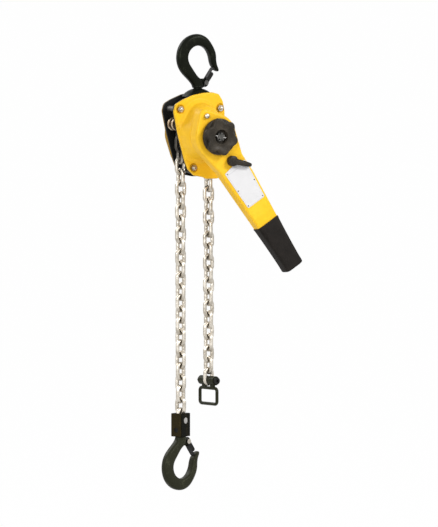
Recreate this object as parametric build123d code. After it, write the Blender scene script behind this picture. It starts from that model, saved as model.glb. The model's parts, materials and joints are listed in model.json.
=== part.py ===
from build123d import *
import os
from math import acos, atan2, cos, degrees, hypot, pi, radians, sin, sqrt, tan

# Lever-operated chain hoist, hanging from its top hook. Millimetres, +Z up, front faces -Y.
# It is drawn about the load sheave: the sheave's axis runs along Y through (0, 0), and the
# chain lies in the plane Y = 0. save() then shifts the origin to the centre of the top hook's bowl.

# --- driving dimensions -------------------------------------------------------------------
HOOK_X = 9.5            # the top hook hangs this far beside the sheave axis
HOOK_Z = 141.5          # height of the top hook's bowl centre above the sheave axis
HOOK_TO_SEAT = 55.5     # bowl centre to the shoulder on the shank
BOWL_R = 22.0           # radius of a hook's bowl
HOOK_THICK = 17.0       # forged thickness of a hook
HOOK_EDGE_R = 3.6
THROAT_TURN = 36.0      # the throat leaves the bowl this far past its side
EAR_T = 5.2             # thickness of the ear that the latch turns on
LATCH_PIN = (14.8, -46.0)
LATCH_PIN_R = 2.5
LATCH_LENGTH = 31.0
LATCH_ANGLE = 54.5      # the latch rises this steeply from its pin to the hook's nose
LATCH_HALF = 5.8        # half the latch's width
LATCH_WALL = 1.3

CHAIN_D = 7.1           # wire of the load chain
WIRE_R = 3.54           # as drawn, so that neighbouring links just clear each other
CHAIN_P = 21.0          # pitch of the load chain
LINK_W = 23.6           # outer width of a link
POCKETS = 4             # pockets of the load sheave
PITCH_R = 0.5 * hypot(CHAIN_P / sin(radians(90 / POCKETS)), CHAIN_D / cos(radians(90 / POCKETS)))
FLAT_R = sqrt(PITCH_R**2 - ((CHAIN_P + CHAIN_D) / 2) ** 2)
STAND_R = sqrt(PITCH_R**2 - ((CHAIN_P - CHAIN_D) / 2) ** 2)
HALF_FLAT = degrees(acos(FLAT_R / PITCH_R))
PHASE = 166.5           # angle of the pocket that the load strand leaves
LOAD_X = PITCH_R * cos(radians(PHASE + HALF_FLAT))
LOAD_TOP_Z = PITCH_R * sin(radians(PHASE + HALF_FLAT)) - (CHAIN_P - CHAIN_D) / 2
SLACK_X = 32.1          # the guide pushes the slack strand out to here
LOAD_LINKS = 25
SLACK_LINKS = 21
UPPER_LINKS = 2         # links of each run above the joint at which the rest swings
STILL_LINKS = 2         # straight links of each run that stay at the sheave
LOAD_TWIST = 25.0       # the load strand's twist from the sheave to the bottom block
SLACK_TWIST = 11.0

PLATE_IN = 18.0         # side plates stand this far from the chain plane
PLATE_T = 3.5
PLATE_OUT = PLATE_IN + PLATE_T
COVER_T = 2.2
COVER_Y = -26.5         # front face of the cover's rim
DOME_Y = -64.0          # front face of the cover's dome
STAYS = ((-41.3, 48.5), (42.2, 49.0), (-13.3, -59.7))
STAY_R = 3.0
ROLLER_AT = (37.3, 20.3)
ROLLER_R = 12.0
YOKE_PIN_Z = 49.0
YOKE_PIN_R = 5.0

LEVER_ANGLE = 58.0      # the arm points this far below the +X axis
HEAD_R = 42.0
HEAD_AT = (-1.0, -1.7)  # the head's round part, beside the shaft, along the arm and across it
LEVER_EDGE_R = 4.5      # the lever's pressed edges
HEAD_FRONT, HEAD_BACK = -93.0, -67.5
ARM_FRONT, ARM_BACK = -92.5, -68.0
SPLIT_Y = (ARM_FRONT + ARM_BACK) / 2    # the lever's two shells meet here
SHELL_T = 2.4
ARM_BEND_S = 52.0       # from here on the arm leans away from the body
ARM_LEAN = 5.8
ARM_END = 278.0
GRIP_FROM, GRIP_TO = 188.0, 288.0
SELECTOR_S = 53.0       # selector spindle, measured along the arm
SELECTOR_SWUNG = 45.5   # the selector stands this far off the arm's line
SELECTOR_FRONT = -103.2 # its arm runs clear of the label
PAWL_SHARE = 0.3        # the change pawl turns this much for each turn of the selector
WHEEL_BACK, WHEEL_FRONT = -95.5, -110.0
WHEEL_R = 34.6
SKIRT_R = 33.5
WHEEL_WAIST = -101.5    # the lobes stand in front of here, on the round skirt
WHEEL_LOBES = 6
WHEEL_TURN = 44.0
WHEEL_HUB_Y = -97.0     # shoulder of the shaft that the wheel is clamped against
TAIL_RIVET = (-45.0, 0.0)
ARM_RIVET = (212.0, 0.0)
RIVET_R = 2.5
LABEL_T = 0.9
LABEL_RIVETS = ((70.5, 20.8), (108.0, 19.6), (141.5, 17.6))
CHANGE_TEETH = 10       # cogs of the change gear

GEAR_C = 30.0           # distance from the sheave axis to each disk gear
GEAR_TILT = 8.0         # the line of the three gears leans this far
PINION_TEETH, DISK_TEETH, STEP_TEETH, LOAD_TEETH = 12, 36, 12, 24
FAST_M = 2 * GEAR_C / (PINION_TEETH + DISK_TEETH)
SLOW_M = 2 * GEAR_C / (STEP_TEETH + LOAD_TEETH)
PRESSURE = radians(25)
GEAR_SLOW_Y = (23.0, 31.0)
GEAR_FAST_Y = (33.0, 39.0)
CASE_BACK = 52.0
SHAFT_R = 7.0

BRAKE_R = 29.0
RATCHET_TEETH = 12
RATCHET_R, RATCHET_ROOT = 32.0, 27.0
RATCHET_Y = (-42.0, -36.0)
PAWL_R = 42.0           # the brake pawls turn on pins this far from the axis
PAWL_ANGLES = {"left": 120.0, "right": 60.0}

BLOCK_TOP, BLOCK_BOTTOM = -512.0, -555.0
BLOCK_X, BLOCK_Y = 28.0, 24.0
BOTTOM_HOOK_TURN = 13.0
LAST_LOAD_Z = LOAD_TOP_Z - (LOAD_LINKS - 1) * CHAIN_P
CHAIN_PIN_R = 4.0
PIN_HEAD_R = 5.8
CHAIN_PIN_Z = LAST_LOAD_Z - CHAIN_P / 2 + CHAIN_PIN_R + 0.1
STOP_BOLT_R = 3.0
SLEEVE_R = 8.4
RING_WIDE, RING_HIGH, RING_WIRE = 48.5, 29.0, 3.0

RUN = 0.06              # radial running clearance of a shaft in its bush
GAP = 0.3               # clearance between faces that move past each other


# --- helpers ------------------------------------------------------------------------------
def save(shape, name):
    """Writes one node, with the origin moved to the top hook's bowl."""
    moved = Pos(-HOOK_X, 0, -HOOK_Z) * shape
    moved.label = name
    export_step(moved, f"parts/{name}.step")


def rod(radius, y_from, y_to, x=0.0, z=0.0):
    """A cylinder along Y."""
    low, high = min(y_from, y_to), max(y_from, y_to)
    return Pos(x, (low + high) / 2, z) * Rot(90, 0, 0) * Cylinder(radius, high - low)


def post(radius, z_from, z_to, x=0.0, y=0.0):
    """A cylinder along Z."""
    low, high = min(z_from, z_to), max(z_from, z_to)
    return Pos(x, y, (low + high) / 2) * Cylinder(radius, high - low)


def slab(sketch, y_from, y_to):
    """A sketch drawn in X and Z, carried along Y between the two planes."""
    low, high = min(y_from, y_to), max(y_from, y_to)
    return extrude(Plane.XZ.offset(-high) * sketch, amount=high - low)


def polar(radius, angle):
    """A point at a radius and an angle in degrees."""
    return radius * cos(radians(angle)), radius * sin(radians(angle))


def outline(points):
    """The face inside a closed run of straight lines."""
    return make_face(Polyline(*points, close=True))


def hexagon(across_flats):
    """A regular hexagon, by the distance between its flats."""
    return RegularPolygon(across_flats / sqrt(3), 6)


def hex_nut(across_flats, bore, y_from, y_to, x, z):
    """A nut along Y, with its corners turned off."""
    body = slab(Pos(x, z) * (hexagon(across_flats) - Circle(bore)), y_from, y_to)
    return body & rod(across_flats * 0.56, y_from, y_to, x, z)


def on_arm(shape):
    """Turns a shape drawn with the arm along +X to where the lever hangs."""
    return Rot(0, LEVER_ANGLE, 0) * shape


def leaned(shape):
    """Leans a part of the arm outward from its bend, in the lever's own frame."""
    return Pos(ARM_BEND_S, SPLIT_Y, 0) * Rot(0, 0, -ARM_LEAN) * Pos(-ARM_BEND_S, -SPLIT_Y, 0) * shape


def arm_point(along, across=0.0):
    """X and Z of a point given along the arm and across it."""
    turn = radians(LEVER_ANGLE)
    return along * cos(turn) + across * sin(turn), -along * sin(turn) + across * cos(turn)


def gear_face(teeth, module, tooth_at):
    """An involute gear outline with one tooth centred on the given angle in degrees."""
    pitch = teeth * module / 2
    base = pitch * cos(PRESSURE)
    root, tip = pitch - 1.25 * module, pitch + module
    thin = 0.12
    half_pitch = pi / (2 * teeth) - thin / pitch + tan(PRESSURE) - PRESSURE
    flank = [base + (tip - base) * step / 3 for step in range(4)]
    points = []
    for tooth in range(teeth):
        middle = radians(tooth_at) + 2 * pi * tooth / teeth
        halves = [(root, half_pitch)]
        for radius in flank:
            press = acos(min(1.0, base / radius))
            halves.append((radius, half_pitch - (tan(press) - press)))
        side = [(r, middle - a) for r, a in halves] + [(r, middle + a) for r, a in reversed(halves)]
        points += [(r * cos(a), r * sin(a)) for r, a in side]
    return outline(points)


def bent_wire(radius, wire, angle):
    """Round wire bent about Z through an angle, from the X axis round towards +Y."""
    return revolve(Plane.XZ * Pos(radius, 0) * Circle(wire), Axis.Z, angle)


# --- chain --------------------------------------------------------------------------------
def chain_link():
    """One welded link, standing in the XZ plane about the origin."""
    centre = (LINK_W - CHAIN_D) / 2
    straight = CHAIN_P + CHAIN_D - 2 * centre
    crown = Pos(0, 0, straight / 2) * Rot(90, 0, 0) * bent_wire(centre, WIRE_R, 180)
    link = crown + Rot(0, 180, 0) * crown
    for side in (-1, 1):
        link += Pos(side * centre, 0, 0) * Cylinder(WIRE_R, straight)
    return link


LINK = chain_link()


def hung_links(x, top_z, first, last, twist, total):
    """Links first..last of a hanging run, each turned a quarter from the one above."""
    links = []
    for number in range(first, last):
        turn = 90 * (number % 2) + twist * number / (total - 1)
        links.append(Pos(x, 0, top_z - number * CHAIN_P) * Rot(0, 0, turn) * LINK)
    return links


def link_on_sheave(angle, radius, flat):
    """A link in its place on the sheave: flat in a pocket, or standing in the groove."""
    x, z = polar(radius, angle)
    lie = Rot(0, 0, 90) * LINK if flat else LINK
    return Pos(x, 0, z) * Rot(0, -angle, 0) * lie


def slack_crowns():
    """Crown centres of the flat link that the guide leads from the sheave to the slack run."""
    x, z = polar(PITCH_R, PHASE - 180 + HALF_FLAT)
    across = SLACK_X - x
    return (x, z), (SLACK_X, z - sqrt((CHAIN_P + CHAIN_D) ** 2 - across**2))


SLACK_TOP_Z = slack_crowns()[1][1] - (CHAIN_P - CHAIN_D) / 2


def make_chain():
    """The links round the sheave, and both hanging runs in two parts each."""
    (x_high, z_high), (x_low, z_low) = slack_crowns()
    lean = degrees(atan2(x_low - x_high, z_high - z_low))
    leaving = Pos((x_high + x_low) / 2, 0, (z_high + z_low) / 2) * Rot(0, -lean, 0) * Rot(0, 0, 90) * LINK
    around = [
        link_on_sheave(PHASE, FLAT_R, True),
        link_on_sheave(PHASE - 45, STAND_R, False),
        link_on_sheave(PHASE - 90, FLAT_R, True),
        link_on_sheave(PHASE - 135, STAND_R, False),
        leaving,
    ]
    around += hung_links(LOAD_X, LOAD_TOP_Z, 0, STILL_LINKS, LOAD_TWIST, LOAD_LINKS)
    around += hung_links(SLACK_X, SLACK_TOP_Z, 0, STILL_LINKS, SLACK_TWIST, SLACK_LINKS)
    save(Compound(children=around), "chain_round_sheave")
    split = STILL_LINKS + UPPER_LINKS
    load = (LOAD_X, LOAD_TOP_Z)
    slack = (SLACK_X, SLACK_TOP_Z)
    for name, (x, top), first, last, twist, total in (
        ("load_chain_upper", load, STILL_LINKS, split, LOAD_TWIST, LOAD_LINKS),
        ("load_chain", load, split, LOAD_LINKS, LOAD_TWIST, LOAD_LINKS),
        ("slack_chain_upper", slack, STILL_LINKS, split, SLACK_TWIST, SLACK_LINKS),
        ("slack_chain", slack, split, SLACK_LINKS, SLACK_TWIST, SLACK_LINKS),
    ):
        save(Compound(children=hung_links(x, top, first, last, twist, total)), name)


# --- hooks --------------------------------------------------------------------------------
def smooth_path(start, tangent, points):
    """Arcs through the points, each leaving in the direction in which the last one arrived."""
    arcs = []
    for point in points:
        arcs.append(TangentArc(start, point, tangent=tangent))
        start, tangent = arcs[-1] @ 1, arcs[-1] % 1
    return arcs


def hook_body():
    """A forged hook about its bowl centre: bowl at the top, shank down, mouth towards +X."""
    back = TangentArc((-43.5, 0), (-30.0, -31.0), tangent=(0, -1))
    diagonal = Line(back @ 1, back @ 1 + 19.0 * (back % 1))
    seat_z = -HOOK_TO_SEAT
    foot = Polyline(diagonal @ 1, (-10.0, -51.5), (-10.0, seat_z), (10.0, seat_z), (11.0, -53.0))
    ear_foot = Line(foot @ 1, (15.0, -54.0))
    ear_side = ThreePointArc(ear_foot @ 1, (21.4, -46.0), (16.0, -38.5))
    ear_top = Line(ear_side @ 1, (4.5, -38.5))
    low = polar(BOWL_R, 180 + THROAT_TURN)
    throat_way = (sin(radians(THROAT_TURN)), -cos(radians(THROAT_TURN)))
    throat = Line(low, (low[0] + 26.5 * throat_way[0], low[1] + 26.5 * throat_way[1]))
    corner = Line(throat @ 1, ear_top @ 1)
    mouth = polar(BOWL_R, 35)
    bowl = ThreePointArc(mouth, polar(BOWL_R, 125), low)
    limb = smooth_path(mouth, (sin(radians(35)), -cos(radians(35))), [(24.4, -3.0), (27.6, -14.8)])
    crest = [(-41.5, 14.0), (-4.5, 43.6), (22.4, 31.9), (34.0, 13.0), (36.6, 0), (41.7, -20.5)]
    outside = smooth_path((-43.5, 0), (0, 1), crest)
    nose = Polyline(outside[-1] @ 1, (41.2, -27.4), (35.4, -24.4), limb[-1] @ 1)
    lower = [back, diagonal, foot, ear_foot, ear_side, ear_top, corner, throat]
    return slab(make_face([*lower, bowl, *limb, nose, *outside]), -HOOK_THICK / 2, HOOK_THICK / 2)


def hook_solid(shank):
    """The hook with rounded edges, its latch ear thinned, and a turned shank below the seat."""
    solid = hook_body()
    rims = [e for e in solid.edges() if abs(abs(e.center().Y) - HOOK_THICK / 2) < 0.01]
    solid = fillet(rims, HOOK_EDGE_R)
    for side in (-1, 1):
        solid -= Pos(16.2, side * (EAR_T / 2 + 5.0), -46.0) * Box(13, 10, 18)
    solid -= rod(LATCH_PIN_R, -20, 20, *LATCH_PIN)
    solid += post(10.2, -HOOK_TO_SEAT, -HOOK_TO_SEAT + 4.5)
    return solid + shank


def latch():
    """A pressed channel latch on its pin, shut against the inside of the nose."""
    x, z = LATCH_PIN
    along = Pos(x, 0, z) * Rot(0, -LATCH_ANGLE, 0)
    body = along * Pos(LATCH_LENGTH / 2 + 4.5, 0, 3.2) * Box(LATCH_LENGTH - 9, 2 * LATCH_HALF, LATCH_WALL)
    cheek_long = LATCH_LENGTH - 12
    cheek = SlotCenterToCenter(cheek_long, 7.7)
    for side in (-1, 1):
        wall = slab(cheek, side * LATCH_HALF, side * (LATCH_HALF - LATCH_WALL))
        body += along * Pos(cheek_long / 2, 0, 0) * wall
    return body - rod(LATCH_PIN_R + RUN, -20, 20, x, z)


def latch_spring():
    """The torsion spring's two coils, wound on the latch pin on each side of the ear."""
    x, z = LATCH_PIN
    bore = rod(LATCH_PIN_R + 0.1, -10, 10, x, z)
    return Compound(children=[rod(3.4, side * 2.9, side * 4.2, x, z) - bore for side in (-1, 1)])


def latch_pin():
    """The latch's pin, riveted over at both ends."""
    x, z = LATCH_PIN
    pin = rod(LATCH_PIN_R, -6.5, 6.5, x, z)
    for side in (-1, 1):
        pin += rod(4.4, side * 6.1, side * 7.6, x, z)
    return pin


def make_top_hook():
    """The top hook with its latch, latch pin and spring, and the nut on its shank."""
    here = Pos(HOOK_X, 0, HOOK_Z)
    shank = post(8.0, -HOOK_TO_SEAT - 28.5, -HOOK_TO_SEAT + 1)
    save(here * hook_solid(shank), "top_hook")
    save(here * latch(), "top_latch")
    save(here * latch_pin(), "top_latch_pin")
    save(here * latch_spring(), "top_latch_spring")
    nut = extrude(hexagon(22), 8.0) - Cylinder(8.0, 40)
    save(Pos(HOOK_X, 0, HOOK_Z - HOOK_TO_SEAT - 28.0) * nut, "hook_shank_nut")


def make_yoke():
    """The dome-topped yoke between the plates, with its window for the shank nut."""
    top = HOOK_Z - HOOK_TO_SEAT - GAP
    half_y = PLATE_IN - 2.5
    cap_low = top - 15.0
    neck = Pos(HOOK_X, 0, (YOKE_PIN_Z - 7.2 + cap_low) / 2) * Box(34, 2 * half_y, cap_low - YOKE_PIN_Z + 7.2)
    dome = Pos(HOOK_X, 0, top - 36.0) * Sphere(36.0)
    cap = dome & Pos(HOOK_X, 0, (top + cap_low) / 2) * Box(80, 2 * half_y, top - cap_low)
    body = neck + cap
    body -= post(8.0 + RUN, 0, 200, HOOK_X)
    window_top = HOOK_Z - HOOK_TO_SEAT - 20.0 + GAP
    body -= Pos(HOOK_X, 0, window_top - 5.3) * Box(26.5, 60, 10.6)
    body += rod(YOKE_PIN_R + 2.2, -half_y, half_y, HOOK_X, YOKE_PIN_Z)
    body -= rod(YOKE_PIN_R + RUN, -50, 50, HOOK_X, YOKE_PIN_Z)
    save(body, "top_yoke")
    pin = rod(YOKE_PIN_R, -PLATE_OUT, PLATE_OUT, HOOK_X, YOKE_PIN_Z)
    save(pin, "yoke_pin")


# --- frame --------------------------------------------------------------------------------
def side_outline():
    """Shared outline of the side plates and the cover's rim, in X and Z."""
    points = [
        (-53.5, 44.0), (-50.0, 57.5), (-36.0, 65.0), (-14.0, 73.5), (8.0, 77.5), (26.0, 78.5),
        (40.0, 75.0), (48.0, 63.0), (52.0, 44.0), (53.0, 10.0), (51.5, -40.0), (47.0, -68.0),
        (36.0, -77.5), (8.0, -77.5), (-12.0, -73.5), (-24.0, -62.5), (-31.0, -46.0), (-45.0, 4.0),
    ]
    face = outline(points)
    return fillet(face.vertices(), 11.0)


def plate_holes():
    """The holes that both side plates share."""
    holes = [Pos(x, z) * Circle(STAY_R) for x, z in STAYS]
    holes += [Pos(side * ROLLER_AT[0], ROLLER_AT[1]) * Circle(3.4 + RUN) for side in (-1, 1)]
    holes.append(Pos(HOOK_X, YOKE_PIN_Z) * Circle(YOKE_PIN_R))
    holes.append(Circle(16.0))
    return holes


def disk_centres():
    """X and Z of the two disk gears."""
    return [polar(GEAR_C, 90 + GEAR_TILT + turn) for turn in (0, 180)]


def make_side_plates():
    """Both side plates, cut from one outline and bored for what each one carries."""
    face = side_outline()
    for hole in plate_holes():
        face -= hole
    front, rear = face, face
    for side in PAWL_ANGLES.values():
        front -= Pos(*polar(PAWL_R, side)) * Circle(2.5)
    for x, z in disk_centres():
        rear -= Pos(x, z) * Circle(4.0 + RUN)
    save(slab(front, -PLATE_OUT, -PLATE_IN), "front_side_plate")
    save(slab(rear, PLATE_IN, PLATE_OUT), "rear_side_plate")


def make_stays():
    """Bolts, spacer tubes and nuts that hold the side plates; the lowest pair screw into the guide."""
    bolts, spacers, nuts = [], [], []
    seat = PLATE_OUT + COVER_T
    for x, z in STAYS[:2]:
        bolts.append(rod(STAY_R, -seat - 9.0, seat + 8.0, x, z))
        spacers.append(rod(5.5, -PLATE_IN, PLATE_IN, x, z) - rod(STAY_R, -50, 50, x, z))
    low_x, low_z = STAYS[2]
    for side, tail in ((-1, 9.0), (1, 8.0)):
        bolts.append(rod(STAY_R, side * 6.0, side * (seat + tail), low_x, low_z))
    for x, z in STAYS:
        for side in (-1, 1):
            nuts.append(hex_nut(10.0, STAY_R, side * seat, side * (seat + 5.2), x, z))
    save(Compound(children=bolts), "stay_bolts")
    save(Compound(children=spacers), "stay_spacers")
    save(Compound(children=nuts), "stay_nuts")


def make_rollers():
    """A spool on each side of the sheave that keeps the chain in its groove."""
    for name, side in (("left", -1), ("right", 1)):
        x, z = side * ROLLER_AT[0], ROLLER_AT[1]
        spool = rod(3.4, -PLATE_OUT, PLATE_OUT, x, z)
        for half in (-1, 1):
            flange = rod(ROLLER_R, half * 4.9, half * 9.2, x, z)
            spool += chamfer(flange.edges().filter_by(GeomType.CIRCLE), 0.8)
        save(spool, f"guide_roller_{name}")


def make_guide():
    """The stripper between the strands: it is held by the lower stay and has a finger in the groove."""
    face = outline([
        (-21.5, -61.0), (-16.5, -47.0), (-12.0, -34.5), (-4.0, -30.5), (6.0, -30.0), (13.0, -31.5),
        (19.0, -42.0), (26.5, -52.0), (26.5, -70.0), (6.0, -73.0), (-11.0, -69.5),
    ])
    block = slab(face, -PLATE_IN, PLATE_IN)
    finger = outline([(-5.0, -31.5), (-6.5, -17.5), (3.0, -17.0), (10.0, -31.5)])
    block += slab(finger, -3.6, 3.6)
    for side in (-1, 1):
        block -= rod(STAY_R, side * 6.0, side * 30.0, *STAYS[2])
    for x in (LOAD_X, SLACK_X):
        block -= Pos(x, 0, -56.0) * Box(LINK_W + 1.4, CHAIN_D + 2.2, 70)
    save(block, "chain_guide")


def lobed(circle_r, lobe_r):
    """Outline of the dome: a circle about the axis, drawn out at the top over the pawls."""
    return make_hull([*Circle(circle_r).edges(), *(Pos(0, 30) * Circle(lobe_r)).edges()])


def dome_solid(inset):
    """The dome over the brake, drawn in by a wall's thickness for its inside."""
    foot = Plane.XZ.offset(-COVER_Y - 1.0) * lobed(48.0 - inset, 33.0 - inset)
    crown = Plane.XZ.offset(-DOME_Y - inset) * lobed(42.0 - inset, 28.0 - inset)
    dome = loft([foot, crown])
    return fillet(dome.faces().sort_by(Axis.Y)[0].edges(), 8.0 - 0.9 * inset)


def make_cover():
    """The pressed front cover: a rim stood off the plate, dimples at the stays, and the dome."""
    rim = side_outline()
    pan = slab(rim, COVER_Y, -PLATE_OUT)
    pan = fillet(pan.faces().sort_by(Axis.Y)[0].edges(), 2.2)
    inner_rim = offset(rim, -COVER_T)
    pan -= slab(inner_rim, COVER_Y + COVER_T, -PLATE_OUT + 1)
    cover = pan + dome_solid(0.0) - dome_solid(COVER_T)
    cover -= slab(lobed(48.0 - COVER_T, 33.0 - COVER_T), COVER_Y - 1.0, -PLATE_OUT + 1)
    for x, z in STAYS:
        seat = -PLATE_OUT - COVER_T
        cup = loft([
            Plane.XZ.offset(-seat) * Pos(x, z) * Circle(7.0),
            Plane.XZ.offset(-COVER_Y + 0.01) * Pos(x, z) * Circle(10.0),
        ])
        cover += rod(10.0, COVER_Y, -PLATE_OUT, x, z) & slab(rim, COVER_Y, -PLATE_OUT)
        cover -= cup
        cover -= rod(STAY_R, -80, 0, x, z)
    cover -= rod(20.0, -80, 0)
    lip = outline([(14.0, -73.0), (46.0, -73.0), (46.0, -80.5), (14.0, -80.5)])
    lip_face = fillet(lip.vertices(), 2.5)
    cover += slab(lip_face, COVER_Y, COVER_Y + 3.2) - slab(offset(rim, -0.5), COVER_Y - 1, 0)
    save(cover, "front_cover")


# --- gears --------------------------------------------------------------------------------
def pocket():
    """The space that a flat link takes up in the sheave, with its clearance."""
    face = SlotOverall(CHAIN_P + 2 * CHAIN_D + 1.0, LINK_W + 1.0)
    return Pos(FLAT_R - CHAIN_D / 2 - 0.35, 0, 0) * Rot(0, 90, 0) * extrude(face, 14)


def make_sheave():
    """The pocketed sheave with its journals, the bushes that they run in, and the gear that turns it."""
    half = 14.2
    sheave = rod(28.5, -half, half)
    groove = rod(40, -4.5, 4.5) - rod(14.4, -5, 5)
    sheave -= groove
    for number in range(POCKETS):
        sheave -= Rot(0, -(PHASE + 90 * number), 0) * pocket()
    sheave += rod(13.0, -PLATE_OUT, -half + 1)
    sheave += rod(13.0, half - 1, GEAR_SLOW_Y[0] - 0.5)
    sheave += rod(10.0, GEAR_SLOW_Y[0] - 1, GEAR_SLOW_Y[1])
    sheave -= rod(SHAFT_R + RUN, -60, 60)
    save(sheave, "load_sheave")
    bushes = []
    for y_from, y_to in ((-PLATE_OUT, -PLATE_IN), (PLATE_IN, PLATE_OUT)):
        bushes.append(rod(16.0, y_from, y_to) - rod(13.0 + RUN, -60, 60))
    save(Compound(children=bushes), "sheave_bushes")
    toward = 90 + GEAR_TILT
    wheel = slab(gear_face(LOAD_TEETH, SLOW_M, toward), *GEAR_SLOW_Y) - rod(10.0, 0, 60)
    save(wheel, "load_gear")


def make_disk_gears():
    """Two disk gears, each a large wheel with a small one in front, on an axle of its own."""
    fast_gap = 180 / DISK_TEETH
    slow_gap = 180 / STEP_TEETH
    for name, (x, z), turn in zip(("upper", "lower"), disk_centres(), (0, 180)):
        facing = 270 + GEAR_TILT + turn
        big = Pos(x, z) * gear_face(DISK_TEETH, FAST_M, facing + fast_gap)
        small = Pos(x, z) * gear_face(STEP_TEETH, SLOW_M, facing + slow_gap)
        gear = slab(big, *GEAR_FAST_Y) + slab(small, GEAR_SLOW_Y[0], GEAR_FAST_Y[0])
        gear += rod(4.0, PLATE_IN, CASE_BACK - COVER_T - 1.5, x, z)
        for number in range(5):
            hole_x, hole_z = polar(15.5, 72 * number + 20)
            gear -= rod(3.4, GEAR_FAST_Y[0] - 1, GEAR_FAST_Y[1] + 1, x + hole_x, z + hole_z)
        save(gear, f"disk_gear_{name}")


def case_outline(grow):
    """Outline of the raised part of the gear case, round the gear train."""
    ends = [Pos(x, z) * Circle(25.2 + grow) for x, z in disk_centres()]
    return make_hull([*ends[0].edges(), *ends[1].edges(), *Circle(31.0 + grow).edges()])


def make_gear_case():
    """The cover over the gears at the back, with bearing bosses inside."""
    rim = side_outline()
    base = slab(rim, PLATE_OUT, PLATE_OUT + COVER_T)
    cup = slab(case_outline(COVER_T), PLATE_OUT, CASE_BACK)
    cup = fillet(cup.faces().sort_by(Axis.Y)[-1].edges(), 5.0)
    case = base + cup - slab(case_outline(0.0), PLATE_OUT - 1, CASE_BACK - COVER_T)
    for x, z in disk_centres():
        case += rod(7.0, CASE_BACK - COVER_T - 7.0, CASE_BACK - 1, x, z)
        case -= rod(4.0 + RUN, 0, CASE_BACK - COVER_T - 1.0, x, z)
    case += rod(9.0, CASE_BACK - COVER_T - 7.0, CASE_BACK - 1)
    case -= rod(5.0 + RUN, 0, CASE_BACK - COVER_T - 1.0)
    for x, z in STAYS:
        case -= rod(STAY_R, 0, 60, x, z)
    save(case, "gear_case")


def split_pin():
    """The pin through the shaft's end and a slot of the wheel nut."""
    return Pos(0, WHEEL_HUB_Y - 7.7, 0) * Rot(0, 12, 0) * Rot(0, 90, 0) * Cylinder(0.8, 21.0)


def make_drive():
    """The shaft runs from the hand wheel, through brake and sheave, to the gears at the back."""
    toward = 90 + GEAR_TILT
    shaft = rod(SHAFT_R, WHEEL_HUB_Y, GEAR_SLOW_Y[1] + 1)
    shaft += slab(gear_face(PINION_TEETH, FAST_M, toward), *GEAR_FAST_Y)
    shaft += rod(5.6, GEAR_SLOW_Y[1], GEAR_FAST_Y[0] + 1)
    shaft += rod(5.0, GEAR_FAST_Y[1] - 1, CASE_BACK - COVER_T - 1.5)
    shaft += rod(5.0, WHEEL_HUB_Y - 9.6, WHEEL_HUB_Y)
    shaft -= split_pin()
    save(shaft, "drive_shaft")
    hub = rod(BRAKE_R, -33.0, -28.5) + rod(14.0, -44.5, -32)
    save(hub - rod(SHAFT_R, -60, 0), "friction_hub")
    discs = []
    for y_from, y_to in ((-36.0, -33.0), (-45.0, -42.0)):
        discs.append(rod(BRAKE_R, y_from, y_to) - rod(14.0 + GAP, -60, 0))
    save(Compound(children=discs), "friction_discs")
    bush = rod(17.0, *RATCHET_Y) - rod(14.0 + RUN, -60, 0)
    save(bush, "ratchet_bush")
    teeth = []
    for number in range(RATCHET_TEETH):
        start = 91.5 + 360 / RATCHET_TEETH * number
        teeth.append(polar(RATCHET_ROOT, start))
        teeth.append(polar((RATCHET_ROOT + RATCHET_R) / 2, start + 180 / RATCHET_TEETH))
        teeth.append(polar(RATCHET_R, start + 360 / RATCHET_TEETH))
    save(slab(outline(teeth), *RATCHET_Y) - rod(17.0, -60, 0), "ratchet_disc")
    change = rod(BRAKE_R, -49.0, -45.0) + rod(15.0, -72.0, -48.0)
    cogs = Circle(19.0)
    for number in range(CHANGE_TEETH):
        cogs += Rot(0, 0, 360 / CHANGE_TEETH * number) * Pos(20.5, 0) * Trapezoid(6.8, 7.0, 75, rotation=-90)
    change += slab(cogs, -87.0, -72.0)
    change += rod(12.0, WHEEL_HUB_Y, -86.0)
    save(change - rod(SHAFT_R, -120, 0), "change_gear")


def make_pawls():
    """Two brake pawls on pins between the plate and the dome, each with a torsion spring."""
    pins, springs = [], []
    for name, angle in PAWL_ANGLES.items():
        x, z = polar(PAWL_R, angle)
        arm = outline([
            polar(28.1, angle - 24.8), polar(33.6, angle - 28.1), polar(38.5, angle - 18.7),
            polar(46.2, angle - 2), polar(38.6, angle + 3), polar(31.2, angle - 16.7),
            polar(29.4, angle - 21.9),
        ])
        pawl = slab(arm + Pos(x, z) * Circle(4.4), RATCHET_Y[0] + 0.4, RATCHET_Y[1] - 0.4)
        save(pawl - rod(2.5 + RUN, -60, 0, x, z), f"brake_pawl_{name}")
        pins.append(rod(2.5, -56.0, -PLATE_IN, x, z))
        ring = rod(4.2, -45.5, -43.2, x, z) - rod(2.5 + 0.1, -60, 0, x, z)
        springs.append(ring)
    save(Compound(children=pins), "brake_pawl_pins")
    save(Compound(children=springs), "brake_pawl_springs")


# --- lever --------------------------------------------------------------------------------
def head_outline(shrink=0.0):
    """Outline of the lever's head: a circle about the shaft, a tail, and shoulders towards the arm."""
    shapes = [Pos(*HEAD_AT) * Circle(HEAD_R - shrink), Pos(-45.0, -0.5) * Circle(12.5 - shrink)]
    shapes += [Pos(54.0, across) * Circle(8.0 - shrink) for across in (-24.0, 19.5)]
    edges = [edge for shape in shapes for edge in shape.edges()]
    return make_hull(edges)


def arm_outline(shrink=0.0):
    """Outline of the lever's arm: straight at first along its upper edge, then tapered on both."""
    start, end, narrow = 46.0, ARM_END - shrink, 17.6 - shrink
    upper = [(end, narrow), (95.0, 28.3 - shrink), (start, 27.2 - shrink)]
    return outline([(start, shrink - 31.5), (end, -narrow), *upper])


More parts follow.
